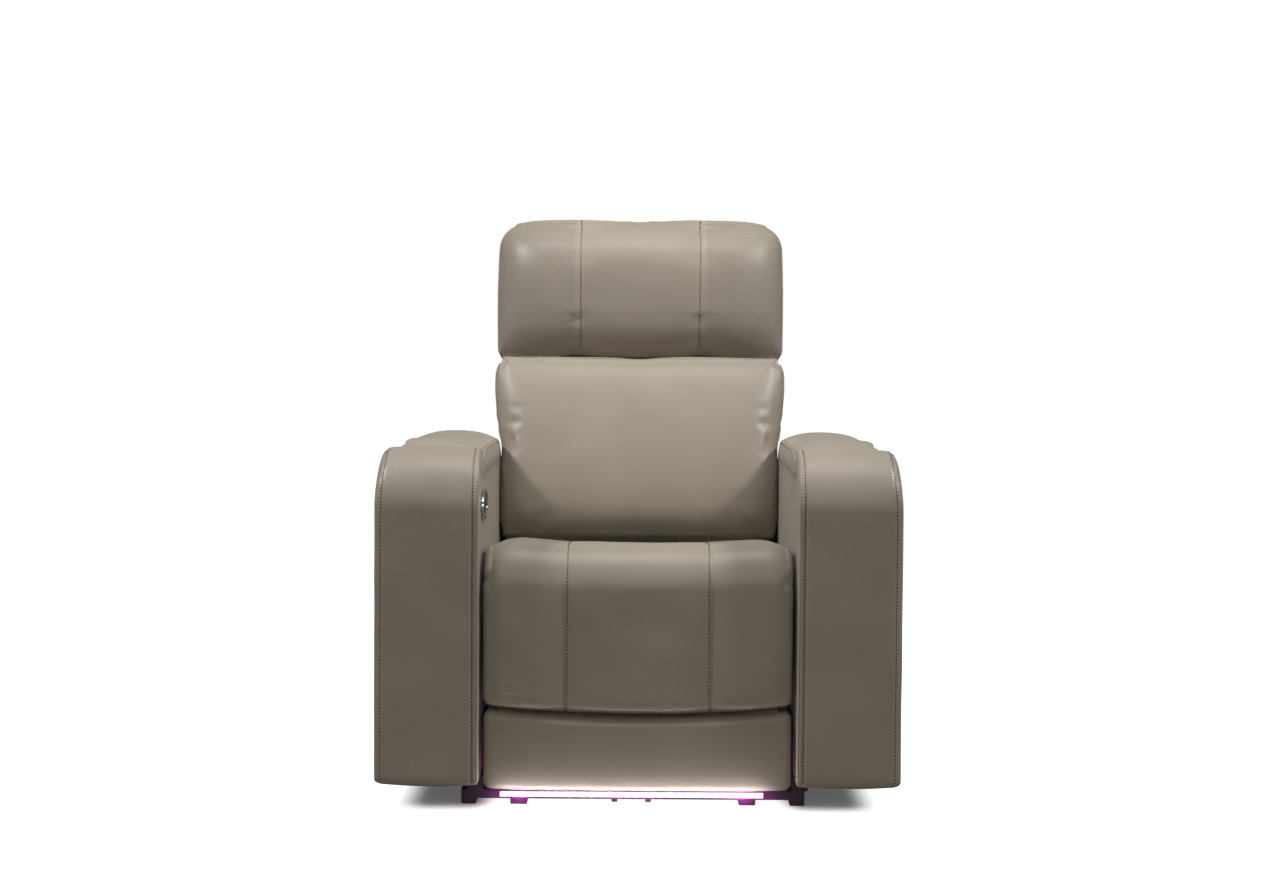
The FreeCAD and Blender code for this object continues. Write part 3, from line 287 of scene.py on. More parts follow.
def crease(piece, start, end, depth, width, waver=0.0, seed=0):
    """One soft fold along a line, fading out at both ends."""
    places, normals = places_of(piece), normals_of(piece)
    start, end = np.array(start, float), np.array(end, float)
    along = end - start
    length = np.linalg.norm(along)
    along /= length
    share = (places - start) @ along / length
    foot = start + np.outer(np.clip(share, 0, 1) * length, along)
    away = places - foot
    if waver:
        sway = np.sin(share * 7 + seed) * waver
        away = away + sway[:, None] * np.cross(along, normals)
    distance = np.linalg.norm(away, axis=1)
    fade = np.sin(np.pi * np.clip(share, 0, 1)) ** 0.7
    ridge = 0.45 * np.exp(-((distance - 1.8 * width) / width) ** 2)
    lifts = depth * fade * (ridge - np.exp(-(distance / width) ** 2))
    lift_by(piece, lifts)


# Cloth simulation of a padded cover

CLOTH_FRAMES = 18
CLOTH_SETTINGS = {"quality": 5, "mass": 0.4, "tension_stiffness": 15.0, "compression_stiffness": 15.0,
                  "shear_stiffness": 9.0, "bending_stiffness": 0.8, "use_pressure": True}


def inflate(piece, pressure, cap):
    """Blow a cover up a little under cloth simulation, held to a small swell."""
    rest = places_of(piece)
    cloth = piece.modifiers.new("Cloth", "CLOTH")
    settings = cloth.settings
    for name, value in CLOTH_SETTINGS.items():
        setattr(settings, name, value)
    settings.uniform_pressure_force = pressure
    settings.effector_weights.gravity = 0
    cloth.collision_settings.use_self_collision = False
    cloth.point_cache.frame_start = 1
    cloth.point_cache.frame_end = CLOTH_FRAMES
    for number in range(1, CLOTH_FRAMES + 1):
        SCENE.frame_set(number)
    graph = bpy.context.evaluated_depsgraph_get()
    result = piece.evaluated_get(graph).to_mesh()
    swollen = np.zeros(len(rest) * 3)
    result.vertices.foreach_get("co", swollen)
    swollen = swollen.reshape(-1, 3)
    piece.modifiers.remove(cloth)
    step = swollen - rest
    length = np.linalg.norm(step, axis=1) + 1e-9
    held = cap * np.tanh(length / cap)
    move_to(piece, rest + step * (held / length)[:, None])
    SCENE.frame_set(1)


# Thread and piping

def surface_tree(piece):
    return BVHTree.FromPolygons([vertex.co for vertex in piece.data.vertices],
                                [polygon.vertices for polygon in piece.data.polygons])


def snapped(path, tree):
    """The nearest points of a surface to a path, and the surface's normals there."""
    points, normals = [], []
    for point in path:
        place, normal = tree.find_nearest(Vector(point))[:2]
        points.append(place)
        normals.append(normal)
    return np.array(points), np.array(normals)


STITCH_LENGTH = 0.0047
STITCH_RADIUS = 0.0012
STITCH_LIFT = 0.0001
STITCH_SIDES = 6
STITCH_SHAPE = ((-0.5, 0.35), (-0.32, 0.9), (0, 1.0), (0.32, 0.9), (0.5, 0.35))


def stitches(name, path, tree, pitch=0.0064):
    """A row of thread stitches along a path on a surface, as one mesh."""
    points, normals = snapped(resampled(np.array(path), pitch), tree)
    vertices, faces = [], []
    for index in range(len(points) - 1):
        along = points[index + 1] - points[index]
        size = np.linalg.norm(along)
        if size < 0.6 * pitch or size > 1.5 * pitch:
            continue
        along /= size
        normal = normals[index] + normals[index + 1]
        normal -= along * (normal @ along)
        normal /= np.linalg.norm(normal) + 1e-9
        side = np.cross(along, normal)
        middle = (points[index] + points[index + 1]) / 2 + normal * STITCH_LIFT
        base = len(vertices)
        for place, swell in STITCH_SHAPE:
            dip = -STITCH_RADIUS * 1.2 * (2 * abs(place)) ** 3
            for corner in range(STITCH_SIDES):
                angle = 2 * pi * corner / STITCH_SIDES
                up = dip + STITCH_RADIUS * swell * sin(angle)
                vertices.append(middle + along * place * STITCH_LENGTH + normal * up
                                + side * STITCH_RADIUS * swell * cos(angle))
        last = base + (len(STITCH_SHAPE) - 1) * STITCH_SIDES
        faces += ring_faces(len(STITCH_SHAPE), STITCH_SIDES, base)
        faces.append(tuple(range(base + STITCH_SIDES - 1, base - 1, -1)))
        faces.append(tuple(range(last, last + STITCH_SIDES)))
    return closed_mesh(name, vertices, faces)


PIPING_SIDES = 8
PIPING_SPACING = 0.004


def piping(name, path, tree, radius, sink=0.3):
    """A thin leather cord sewn along a seam, as a mesh tube with closed ends."""
    points, normals = snapped(resampled(np.array(path), PIPING_SPACING), tree)
    points = points + normals * radius * (1 - 2 * sink)
    angles = 2 * np.pi * np.arange(PIPING_SIDES) / PIPING_SIDES
    last = len(points) - 1
    rings = []
    for index, point in enumerate(points):
        along = points[min(index + 1, last)] - points[max(index - 1, 0)]
        along /= np.linalg.norm(along) + 1e-9
        normal = normals[index] - along * (normals[index] @ along)
        normal /= np.linalg.norm(normal) + 1e-9
        side = np.cross(along, normal)
        rings.append(point + radius * (np.outer(np.cos(angles), side) + np.outer(np.sin(angles), normal)))
    return loft(name, rings)


# Materials

def new_material(name):
    material = bpy.data.materials.new(name)
    material.use_nodes = True
    tree = material.node_tree
    return material, tree, tree.nodes["Principled BSDF"]


def give(tree, made, inputs):
    """Give inputs their values; a value that is a socket is linked."""
    for key, value in inputs.items():
        if isinstance(value, bpy.types.NodeSocket):
            tree.links.new(value, made.inputs[key])
        else:
            made.inputs[key].default_value = value


def node(tree, kind, inputs=None, **settings):
    made = tree.nodes.new(kind)
    for key, value in settings.items():
        setattr(made, key, value)
    give(tree, made, inputs or {})
    return made


def maths(tree, operation, *values):
    return node(tree, "ShaderNodeMath", dict(enumerate(values)), operation=operation).outputs[0]


def mixed(tree, factor, first, second, blend_type="MIX"):
    return node(tree, "ShaderNodeMix", {"Factor": factor, "A": first, "B": second}, data_type="RGBA",
                blend_type=blend_type).outputs["Result"]


def ranged(tree, source, low, high, start=0.0, stop=1.0, kind="LINEAR"):
    """A value that runs from low to high while the source runs from start to stop."""
    limits = {"From Min": start, "From Max": stop, "To Min": low, "To Max": high, "Value": source}
    return node(tree, "ShaderNodeMapRange", limits, interpolation_type=kind).outputs["Result"]


def bumped(tree, height, strength, distance):
    made = node(tree, "ShaderNodeBump", {"Strength": strength, "Distance": distance, "Height": height})
    return made.outputs["Normal"]


def two_tone(tree, source, low, high):
    """A colour ramp between two (place, colour) stops."""
    made = node(tree, "ShaderNodeValToRGB", {"Fac": source})
    for element, (place, colour) in zip(made.color_ramp.elements, (low, high)):
        element.position = place
        element.color = colour
    return made.outputs["Color"]


def speckled(tree, place, scale, detail=2.0):
    made = node(tree, "ShaderNodeTexNoise", {"Scale": scale, "Detail": detail, "Vector": place})
    return made.outputs["Fac"]


def place_in(tree):
    return node(tree, "ShaderNodeTexCoord").outputs["Object"]


def linear(red, green, blue):
    """An sRGB colour of 0 to 255 as linear values."""
    return tuple(((channel / 255 + 0.055) / 1.055) ** 2.4 for channel in (red, green, blue)) + (1.0,)


def toned(colour, factor):
    return tuple(min(1, channel * factor) for channel in colour[:3]) + (1,)


def leather(name, colour, roughness=0.43, perforated_beyond=None):
    """Smooth satin leather: fine pebble grain, faint pores, slow colour drift; holes where asked."""
    material, tree, shader = new_material(name)
    place = place_in(tree)
    drift = speckled(tree, place, 6.0, 4.0)
    grain = node(tree, "ShaderNodeTexVoronoi", {"Scale": 620.0, "Smoothness": 0.6, "Vector": place},
                 feature="SMOOTH_F1").outputs["Distance"]
    pores = speckled(tree, place, 1400.0)
    tones = two_tone(tree, drift, (0.3, toned(colour, 0.93)), (0.7, toned(colour, 1.06)))
    shade = mixed(tree, 0.16, tones, grain, "MULTIPLY")
    normal = bumped(tree, maths(tree, "ADD", grain, pores), 0.16, 0.0006)
    if perforated_beyond is not None:
        shade, normal = perforate(tree, place, shade, normal, perforated_beyond)
    rough = ranged(tree, drift, roughness - 0.05, roughness + 0.06)
    give(tree, shader, {"Base Color": shade, "Normal": normal, "Roughness": rough, "Sheen Weight": 0.12,
                        "Sheen Roughness": 0.45, "Specular IOR Level": 0.42})
    return material


HOLE_RADIUS = 0.0013
HOLE_CELL = 0.0046 * 1.4142


def perforate(tree, place, colour, normal, beyond):
    """Small round holes in a diagonal grid on both side panels of the headrest, coloured near black as painted
    shade inside them.
    """
    split = node(tree, "ShaderNodeSeparateXYZ", {0: place})
    across, up = split.outputs["X"], split.outputs["Z"]
    squares = []
    for direction in ("ADD", "SUBTRACT"):
        diagonal = maths(tree, "DIVIDE", maths(tree, direction, across, up), HOLE_CELL)
        cell = maths(tree, "SUBTRACT", maths(tree, "FRACT", diagonal), 0.5)
        squares.append(maths(tree, "MULTIPLY", cell, cell))
    distance = maths(tree, "SQRT", maths(tree, "ADD", *squares))
    size = HOLE_RADIUS / HOLE_CELL
    hole = ranged(tree, distance, 1.0, 0.0, size * 0.75, size * 1.25, "SMOOTHSTEP")
    on_panel = maths(tree, "GREATER_THAN", maths(tree, "ABSOLUTE", across), beyond)
    mask = maths(tree, "MULTIPLY", hole, on_panel)
    # Painted shade: each hole is coloured near black for the shade inside it
    painted_hole_shade = mixed(tree, maths(tree, "MULTIPLY", mask, 0.85), colour, (0.035, 0.028, 0.020, 1))
    inputs = {"Strength": 0.5, "Distance": 0.0008, "Height": mask, "Normal": normal}
    return painted_hole_shade, node(tree, "ShaderNodeBump", inputs, invert=True).outputs["Normal"]


def plain(name, colour, roughness, metallic=0.0, grain=900.0, bump=0.05, coat=0.0):
    """Metal, plastic or rubber with a fine surface texture."""
    material, tree, shader = new_material(name)
    texture = speckled(tree, place_in(tree), grain)
    shift = ranged(tree, texture, max(0.02, roughness - 0.06), min(1.0, roughness + 0.06))
    tint = mixed(tree, texture, toned(colour, 0.88), toned(colour, 1.1))
    give(tree, shader, {"Roughness": shift, "Base Color": tint, "Normal": bumped(tree, texture, bump, 0.0004),
                        "Metallic": metallic, "Coat Weight": coat})
    return material


def plywood(name):
    """Bare plywood: long streaks of grain."""
    material, tree, shader = new_material(name)
    stretched = node(tree, "ShaderNodeMapping", {"Scale": (30, 30, 2.5), "Vector": place_in(tree)})
    streaks = speckled(tree, stretched.outputs[0], 3.0, 6.0)
    tones = two_tone(tree, streaks, (0.0, linear(168, 128, 84)), (1.0, linear(214, 180, 134)))
    give(tree, shader, {"Base Color": tones, "Roughness": 0.62})
    return material


def woven(name, colour):
    """Webbing: crossed threads."""
    material, tree, shader = new_material(name)
    place = place_in(tree)
    waves = [node(tree, "ShaderNodeTexWave", {"Scale": 160.0, "Vector": place}, bands_direction=direction)
             for direction in ("X", "Y")]
    cross = maths(tree, "MULTIPLY", waves[0].outputs["Fac"], waves[1].outputs["Fac"])
    give(tree, shader, {"Base Color": mixed(tree, cross, toned(colour, 0.6), colour),
                        "Normal": bumped(tree, cross, 0.5, 0.001), "Roughness": 0.85})
    return material


def lit(name, core, fringe, strength):
    """A lit lamp, or a part given a painted glow: a white core inside a coloured fringe."""
    material, tree, shader = new_material(name)
    facing = node(tree, "ShaderNodeLayerWeight", {"Blend": 0.35}).outputs["Facing"]
    give(tree, shader, {"Emission Color": mixed(tree, facing, core, fringe), "Base Color": core,
                        "Roughness": 0.3, "Emission Strength": strength})
    return material


TAUPE = linear(150, 141, 127)
WORN_TAUPE = linear(150, 139, 122)
FINISH = {
    COVER: leather("satin_leather", TAUPE),
    "headrest_leather": leather("perforated_leather", TAUPE, perforated_beyond=HEAD_SEAM_X + 0.010),
    "rear_leather": leather("rear_leather", WORN_TAUPE),
    "carcass_plywood": plywood("bare_plywood"),
    "black_steel": plain("powder_coated_steel", linear(38, 38, 41), 0.5, bump=0.2),
    "bright_steel": plain("plated_steel", linear(178, 180, 184), 0.34, metallic=1.0, grain=300.0),
    "webbing_fabric": woven("elastic_webbing", linear(70, 70, 74)),
    "nylon": plain("natural_nylon", linear(222, 218, 206), 0.45),
    "foot_rubber": plain("foot_rubber", linear(34, 32, 36), 0.7, bump=0.2),
    "motor_plastic": plain("moulded_black", linear(36, 36, 40), 0.55, bump=0.15),
    "silver_ring": plain("satin_silver", linear(205, 207, 210), 0.22, metallic=1.0),
    "panel_black": plain("gloss_black", linear(24, 24, 27), 0.12, coat=0.6, bump=0.0),
    "button_plastic": plain("soft_black", linear(52, 53, 57), 0.42),
    # Painted glow: the strip board is no lamp, yet it glows, standing in for the light that the lamps spread along
    # it
    "strip_board": lit("strip_painted_glow", (1.0, 0.55, 0.90, 1), (1.0, 0.30, 0.80, 1), 1.2),
    "lamp_lens": lit("lamp_glow", (1.0, 0.93, 1.0, 1), (1.0, 0.18, 0.95, 1), 9.0),
}
THREAD = plain("thread", linear(62, 54, 43), 0.75)
PIPING = leather("piping_leather", WORN_TAUPE, 0.46)
SLOT_OF = {row["node"]: row["material_slot"] for row in frame["record"]["subparts"]}

for name, piece in frame["nodes"].items():
    piece.data.materials.clear()
    piece.data.materials.append(FINISH[SLOT_OF[name]])


def finish(piece, body, slot, replaced=(), material=None):
    """Give a finished piece its material, its body and the nodes that it stands for."""
    piece.data.materials.clear()
    piece.data.materials.append(material or FINISH[slot])
    if body:
        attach(piece, body)
    if replaced:
        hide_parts(*replaced)


def sew_welt(name, path, tree, radius, body, slot, sink=0.3):
    finish(piping(name, path, tree, radius, sink), body, slot, material=PIPING)


# Arms: a padded box with a front band between two topstitched edges

VIEW_OUTER_X = OUTER_X + 0.0025
SIDE_FULL = 0.002
OUTER_EDGE = 0.020
OUTER_INSET = 0.009
INNER_EDGE = 0.006
OUTER_DROP = 0.041
DROP_FOOT_Z = 0.54
BAND_CROWN = 0.003
BLOCK_END_Y = FRONT_Y + 0.116
TUCK_Y = BLOCK_END_Y - 0.034
PAD_BED_Z = ARM_TOP_Z - 0.0165
PAD_LOW_Z = ARM_TOP_Z - 0.054
PAD_START_Y = BLOCK_END_Y + 0.001
PAD_REAR_Y = 0.135
FRONT_RADIUS = 0.110
REAR_RADIUS = 0.170
SEAM_GROOVE = (0.0026, 0.0016)
ROW_GROOVE = (0.0017, 0.0026)


def arm_outline():
    return rounded_outline([
        (FRONT_Y, ARM_FOOT_Z - 0.003, 0.010), (FRONT_Y, ARM_TOP_Z + 0.001, FRONT_RADIUS),
        (BLOCK_END_Y, ARM_TOP_Z + 0.001, 0.010), (BLOCK_END_Y + 0.016, PAD_BED_Z, 0.010),
        (PAD_REAR_Y - 0.035, PAD_BED_Z, 0.010), (PAD_REAR_Y - 0.012, ARM_TOP_Z - 0.002, 0.006),
        (REAR_Y, ARM_TOP_Z - 0.002, REAR_RADIUS), (REAR_Y, ARM_FOOT_Z, 0.018)], 0.0060)


def dense_stations(low, high, spots, coarse=0.010, fine=0.0015, reach=0.006):
    """Places from low to high, close together near chosen spots."""
    places = [low]
    while places[-1] < high:
        near = min([abs(places[-1] - spot) for spot in spots], default=1)
        places.append(places[-1] + min(coarse, max(fine, (near - reach) * 0.5)))
    places[-1] = high
    return np.array(places)


def band_path():
    """The front band's side view, from the foot of the arm over its round top to the crease."""
    corners = [(FRONT_Y, ARM_FOOT_Z + 0.004), (FRONT_Y, ARM_TOP_Z - FRONT_RADIUS)]
    for step in range(1, 17):
        angle = pi / 2 * step / 16
        corners.append((FRONT_Y + FRONT_RADIUS * (1 - cos(angle)),
                        ARM_TOP_Z - FRONT_RADIUS * (1 - sin(angle))))
    corners.append((BLOCK_END_Y, ARM_TOP_Z))
    return resampled(np.array(corners), 0.003)


def eased(share):
    return share * share * (3 - 2 * share)


def round_outer_top(body):
    """Swell the outer side evenly, and lower the front block's top towards it along a quarter ellipse."""
    places = places_of(body)
    flat = abs(places[:, 0]) > VIEW_OUTER_X - SIDE_FULL - 0.00001
    low, high = places.min(axis=0), places.max(axis=0)
    spread = 1 - (2 * (places - low) / (high - low) - 1) ** 4
    swollen = VIEW_OUTER_X - SIDE_FULL * (1 - spread[:, 1] * spread[:, 2])
    places[:, 0] = np.where(flat, np.sign(places[:, 0]) * swollen, places[:, 0])
    behind = np.clip((places[:, 1] - (BLOCK_END_Y - 0.012)) / 0.030, 0, 1)
    share = np.clip((abs(places[:, 0]) - (VIEW_OUTER_X - OUTER_EDGE - SIDE_FULL)) / OUTER_EDGE, 0, 1)
    rise = np.clip((places[:, 2] - DROP_FOOT_Z) / (ARM_TOP_Z - DROP_FOOT_Z), 0, 1)
    places[:, 2] -= OUTER_DROP * (1 - np.sqrt(1 - share ** 2)) * eased(rise) * (1 - eased(behind))
    move_to(body, places)


def build_arm(side, sign):
    outline = arm_outline()
    normals = outward_normals(outline)
    inner_end = INNER_X + INNER_EDGE + SIDE_FULL
    outer_end = VIEW_OUTER_X - OUTER_EDGE - SIDE_FULL
    middle, half = (inner_end + outer_end) / 2, (outer_end - inner_end) / 2
    row_in, row_out = INNER_X + 0.0135, VIEW_OUTER_X - 0.0125

    def ring_at(place):
        across = (place - middle) / half
        return outline + normals * BAND_CROWN * (1 - abs(across) ** 2.4)

    stations = dense_stations(inner_end, outer_end, [row_in, row_out], coarse=0.008, fine=0.0016)
    rings = capped_across(ring_at, stations, (INNER_EDGE, INNER_EDGE), (OUTER_EDGE, OUTER_INSET),
                          SIDE_FULL, round_steps=9, flat_steps=24)
    body = loft(f"arm_{side}", np.array(rings) * (sign, 1, 1))
    round_outer_top(body)
    undulate(body, 0.0013, 5.0, 3 + sign)
    band = band_path()
    edge_drop = np.interp(band[:, 1], [DROP_FOOT_Z, 0.60, ARM_TOP_Z], [0, 0.0015, 0.008])
    paths = {}
    for label, place, inward, groove in (
            ("inner_seam", INNER_X + 0.0035, 0, SEAM_GROOVE), ("inner_row", row_in, 0, ROW_GROOVE),
            ("outer_seam", VIEW_OUTER_X - 0.0065, 1, SEAM_GROOVE), ("outer_row", row_out, 1, ROW_GROOVE)):
        path = [(sign * (place - drop * inward), depth, height)
                for drop, (depth, height) in zip(edge_drop, band)]
        paths[label] = snapped(np.array(path), surface_tree(body))[0]
        press_groove(body, paths[label], *groove)
    tuck = [(sign * INNER_X, depth, PAD_LOW_Z) for depth in np.linspace(TUCK_Y, PAD_REAR_Y, 60)]
    press_groove(body, np.array(tuck), 0.0050, 0.0050)
    pinch(body, (sign * INNER_X, TUCK_Y, PAD_LOW_Z - 0.001), 0.010, 0.0060, 4)
    folds = ((-0.352, 0.060), (-0.338, 0.045), (-0.30, 0.07), (-0.20, 0.05))
    for depth, drop in folds:
        crease(body, (sign * INNER_X, depth, PAD_LOW_Z - 0.006),
               (sign * INNER_X, depth - 0.008, PAD_LOW_Z - drop), 0.0012, 0.0040)
    finish(body, "base", COVER,
           [f"arm_{side}_side_panels", f"arm_{side}_front_band", f"arm_{side}_rear_band"])
    tree = surface_tree(body)
    for label in ("inner", "outer"):
        row = stitches(f"arm_{side}_{label}_stitching", paths[label + "_row"], tree)
        finish(row, "base", COVER, material=THREAD)
    sew_welt(f"arm_{side}_edge_welt", paths["inner_seam"], tree, 0.0015, "base", COVER, 0.45)


PAD_INNER_X = INNER_X - 0.0020
PAD_CORNER_X = INNER_X - 0.0010
PAD_CROWN_X = 0.373
PAD_OUTER_X = OUTER_X - 0.0105
PAD_CROWN_Z = ARM_TOP_Z + 0.0165
PAD_CORNER_DROP = 0.0165
PAD_DOME = 2.7
PAD_END_ROUND = 0.006


def pad_ends(depth):
    """How near a place along the pad is to its front and to its rear end, from 0 up to 1 at the end."""
    return max(0, 1 - (depth - PAD_START_Y) / 0.060), max(0, 1 - (PAD_REAR_Y - depth) / 0.090)


def pad_crown(depth):
    front, rear = pad_ends(depth)
    lift = 1 - 0.36 * front ** 2.4 - 0.22 * rear ** 2.2
    return PAD_LOW_Z + (PAD_CROWN_Z - PAD_LOW_Z) * lift


def pad_section(depth):
    """The pillow pad from the front: boxy and piped along its inner edge, domed towards the outer one."""
    crown = pad_crown(depth)
    corner = crown - PAD_CORNER_DROP
    points = []
    for share in np.linspace(0, 1, 14)[:-1]:
        swell = 0.0022 * sin(pi * share)
        tuck = 0.0030 * max(0, 1 - share / 0.18) ** 2
        points.append((PAD_CORNER_X - swell + tuck, PAD_LOW_Z + (corner - 0.004 - PAD_LOW_Z) * share))
    for share in np.linspace(0, 1, 26)[:-1]:
        across = PAD_CORNER_X + (PAD_CROWN_X - PAD_CORNER_X) * share ** 1.25
        drop = PAD_CORNER_DROP * (1 - share ** 1.25) ** 2.3
        soften = 0.004 * max(0, 1 - share / 0.12) ** 2
        points.append((across, crown - drop - soften))
    for share in np.linspace(0, 1, 34):
        angle = pi / 2 * share
        across = PAD_CROWN_X + (PAD_OUTER_X - PAD_CROWN_X) * sin(angle) ** (2 / PAD_DOME)
        points.append((across, PAD_LOW_Z + (crown - PAD_LOW_Z) * cos(angle) ** (2 / PAD_DOME)))
    ring = resampled(np.array(points), 0, closed=True, count=110)
    front, rear = pad_ends(depth)
    narrow = 1 - 0.030 * front ** 2 - 0.02 * rear ** 2
    middle = (PAD_INNER_X + PAD_OUTER_X) / 2
    ring[:, 0] = middle + (ring[:, 0] - middle) * narrow
    return np.column_stack([ring[:, 0], np.full(len(ring), depth), ring[:, 1]])


def pad_cap(rim, direction):
    """The rings that close one end of the pad, from its rim inwards."""
    turns = [pi / 2 * step / 7 for step in range(1, 8)]
    sizes = [(1 - 0.14 * (1 - cos(turn)), sin(turn)) for turn in turns]
    sizes += [(0.86 * shrink, 1) for shrink in (0.7, 0.4, 0.1)]
    centre = rim.mean(axis=0)
    return [centre + (rim - centre) * size + np.array([0, direction * PAD_END_ROUND * step, 0])
            for size, step in sizes]


def build_arm_pad(side, sign):
    start, end = PAD_START_Y, PAD_REAR_Y
    rings = [pad_section(depth)
             for depth in dense_stations(start, end, [start, end], coarse=0.010, fine=0.002, reach=0.004)]
    rings = pad_cap(rings[0], -1)[::-1] + rings + pad_cap(rings[-1], 1)
    pad = loft(f"arm_{side}_pad", np.array(rings) * (sign, 1, 1))
    undulate(pad, 0.0014, 7.0, 11 + sign)
    inflate(pad, 1.0, 0.0015)
    edge = [(sign * (PAD_CORNER_X + 0.001), depth, pad_crown(depth) - PAD_CORNER_DROP - 0.003)
            for depth in np.linspace(start + 0.004, end - 0.012, 90)]
    on_edge = snapped(np.array(edge), surface_tree(pad))[0]
    press_groove(pad, on_edge, 0.0012, 0.0025)
    fold_x = PAD_CORNER_X + 0.006
    for depth, reach in ((0.03, 0.06), (-0.09, 0.05), (-0.20, 0.07)):
        crease(pad, (sign * fold_x, depth, PAD_CROWN_Z - 0.012),
               (sign * (fold_x + reach), depth - 0.02, PAD_CROWN_Z), 0.0011, 0.004)
    finish(pad, "base", COVER, [f"arm_{side}_top_pad"])
    sew_welt(f"arm_{side}_pad_welt", on_edge, surface_tree(pad), 0.0019, "base", COVER, 0.35)


# Chaise: one cover over the seat cushion, its nose and the upper legrest pad

PAD_FRONT_Y = KNEE_Y - 0.035
SEAT_TOP_Z = 0.4985
SEAT_REAR_Y = 0.112
SEAT_FOOT_Z = 0.442
BOARD_Y = -0.4025
HALF = 0.2885
CHAISE_ROUND = 0.014
SEAT_SIDE_LIFT = 0.013
PAD_SAG = 0.015
NOSE_FOLDS = ((-0.075, 0.010), (-0.045, -0.006), (-0.015, 0.007), (0.02, -0.008))
CORNER_FOLDS = (((-0.280, 0.222), (-0.225, 0.206)), ((-0.275, 0.240), (-0.235, 0.224)),
                ((-0.262, 0.214), (-0.205, 0.201)), ((0.280, 0.224), (0.238, 0.210)))


def shoulder(place, width):
    """0 in the middle, rising to 1 at the side edge along a quarter round of a given width."""
    over = np.clip((abs(place) - (HALF - width)) / width, 0, 1)
    return 1 - sqrt(max(0.0, 1 - over * over))


def chaise_ring(place):
    share = min(1.0, abs(place) / HALF)
    lift = SEAT_SIDE_LIFT * share ** 2.2 - 0.038 * shoulder(place, 0.060)
    bottom = 0.182 + PAD_SAG * share ** 2
    full = 0.0045 * min(1.0, abs(abs(place) - SEAM_X) / 0.05) ** 0.6
    front = PAD_FRONT_Y - full + 0.012 * shoulder(place, 0.035)
    top = SEAT_TOP_Z + lift + 0.4 * full
    return rounded_outline([
        (BOARD_Y, bottom + 0.004, 0.008), (front, bottom, 0.020), (front, top, 0.078),
        (-0.16, top - 0.018, 0.2), (SEAT_REAR_Y, top - 0.042, 0.012), (SEAT_REAR_Y, SEAT_FOOT_Z, 0.005),
        (-0.366, SEAT_FOOT_Z, 0.006), (-0.366, 0.4735, 0.006), (-0.386, 0.4735, 0.020),
        (BOARD_Y, 0.440, 0.010)], 0.0065)


def seat_cover(name, ring_maker, seams, **spacing):
    """A cover across the seat; each ring has as many points as the middle one."""
    end = HALF - CHAISE_ROUND
    stations = dense_stations(-end, end, seams, **spacing)
    count = len(ring_maker(stations[len(stations) // 2]))
    edges = (CHAISE_ROUND, CHAISE_ROUND)
    rings = capped_across(lambda place: resampled(ring_maker(place), 0.0, closed=True, count=count),
                          stations, edges, edges, 0.0)
    return loft(name, rings, fan=False)


def chaise_path(place):
    """Side view of the cover's outside at one place across, from the pad's foot to the seat's rear."""
    ring = chaise_ring(place)
    outside = ring[(ring[:, 0] < -0.41) | (ring[:, 1] > 0.476)]
    order = np.argsort(np.where(outside[:, 1] < SEAT_TOP_Z - 0.03, outside[:, 1], 1 + outside[:, 0]))
    return np.array([(place, depth, height) for depth, height in outside[order]])


def build_chaise():
    end = HALF - CHAISE_ROUND
    cover = seat_cover("chaise_cover", chaise_ring, [-SEAM_X, SEAM_X, -end, end], coarse=0.008,
                       fine=0.0012, reach=0.005)
    undulate(cover, 0.0020, 6.0, 21)
    for side, sign in SIDES:
        press_groove(cover, chaise_path(sign * SEAM_X), 0.0042, 0.0016)
        for height, depth in ((0.475, 0.006), (0.435, 0.005)):
            pinch(cover, (sign * (HALF - 0.004), PAD_FRONT_Y + 0.004, height), 0.012, depth, 5)
    for place, slant in NOSE_FOLDS:
        crease(cover, (place, -0.345, SEAT_TOP_Z + 0.004), (place + slant, -0.395, SEAT_TOP_Z - 0.004),
               0.0016, 0.0035)
    for number, (start, stop) in enumerate(CORNER_FOLDS):
        crease(cover, (start[0], PAD_FRONT_Y, start[1]), (stop[0], PAD_FRONT_Y - 0.004, stop[1]),
               0.0022, 0.0035, waver=0.001, seed=number)
    finish(cover, None, COVER, ["seat_cushion", "legrest_upper_pad"])
    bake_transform(cover)
    tree = surface_tree(cover)
    for side, sign in SIDES:
        row = stitches(f"chaise_{side}_stitching", chaise_path(sign * (SEAM_X - 0.0045)), tree)
        finish(row, None, COVER, material=THREAD)
        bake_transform(row)


def panel_ring(place):
    share = min(1.0, abs(place) / HALF)
    top = 0.1750 + PAD_SAG * share ** 2
    bottom = 0.0385 + 0.003 * share ** 8
    front = PAD_FRONT_Y + 0.003 - 0.005 * (1 - share ** 4)
    return rounded_outline([(BOARD_Y, bottom + 0.002, 0.004), (front + 0.001, bottom, 0.009),
                            (front, top, 0.014), (BOARD_Y, top, 0.004)], 0.005)


def build_lower_panel():
    panel = seat_cover("legrest_lower_cover", panel_ring, [])
    undulate(panel, 0.0012, 6.0, 31)
    finish(panel, "legrest", COVER, ["legrest_lower_panel"])


# Back and headrest: built upright about the hip pivot, then leaned back

def leaned(points):
    points = np.asarray(points, float)
    depth, height = points[..., 1], points[..., 2]
    return np.stack([points[..., 0],
                     HIP_Y + depth * cos(BACK_LEAN) + height * sin(BACK_LEAN),
                     HIP_Z - depth * sin(BACK_LEAN) + height * cos(BACK_LEAN)], axis=-1)


def pad_ring(half, front, edge, rear, height, power=5.0, fullness=2.3, count=200):
    """Plan view of an upright pad: a crowned front, round sides and a flatter rear."""
    points = []
    for index in range(count):
        angle = 2 * pi * index / count
        cosine, sine = cos(angle), sin(angle)
        if sine < 0:
            across = copysign(abs(cosine) ** (2 / power), cosine)
            depth = edge + (front - edge) * abs(sine) ** (2 / fullness)
        else:
            across = copysign(abs(cosine) ** (2 / 9.0), cosine)
            depth = edge + (rear - edge) * abs(sine) ** (2 / 4.0)
        points.append((half * across, depth, height))
    return np.array(points)


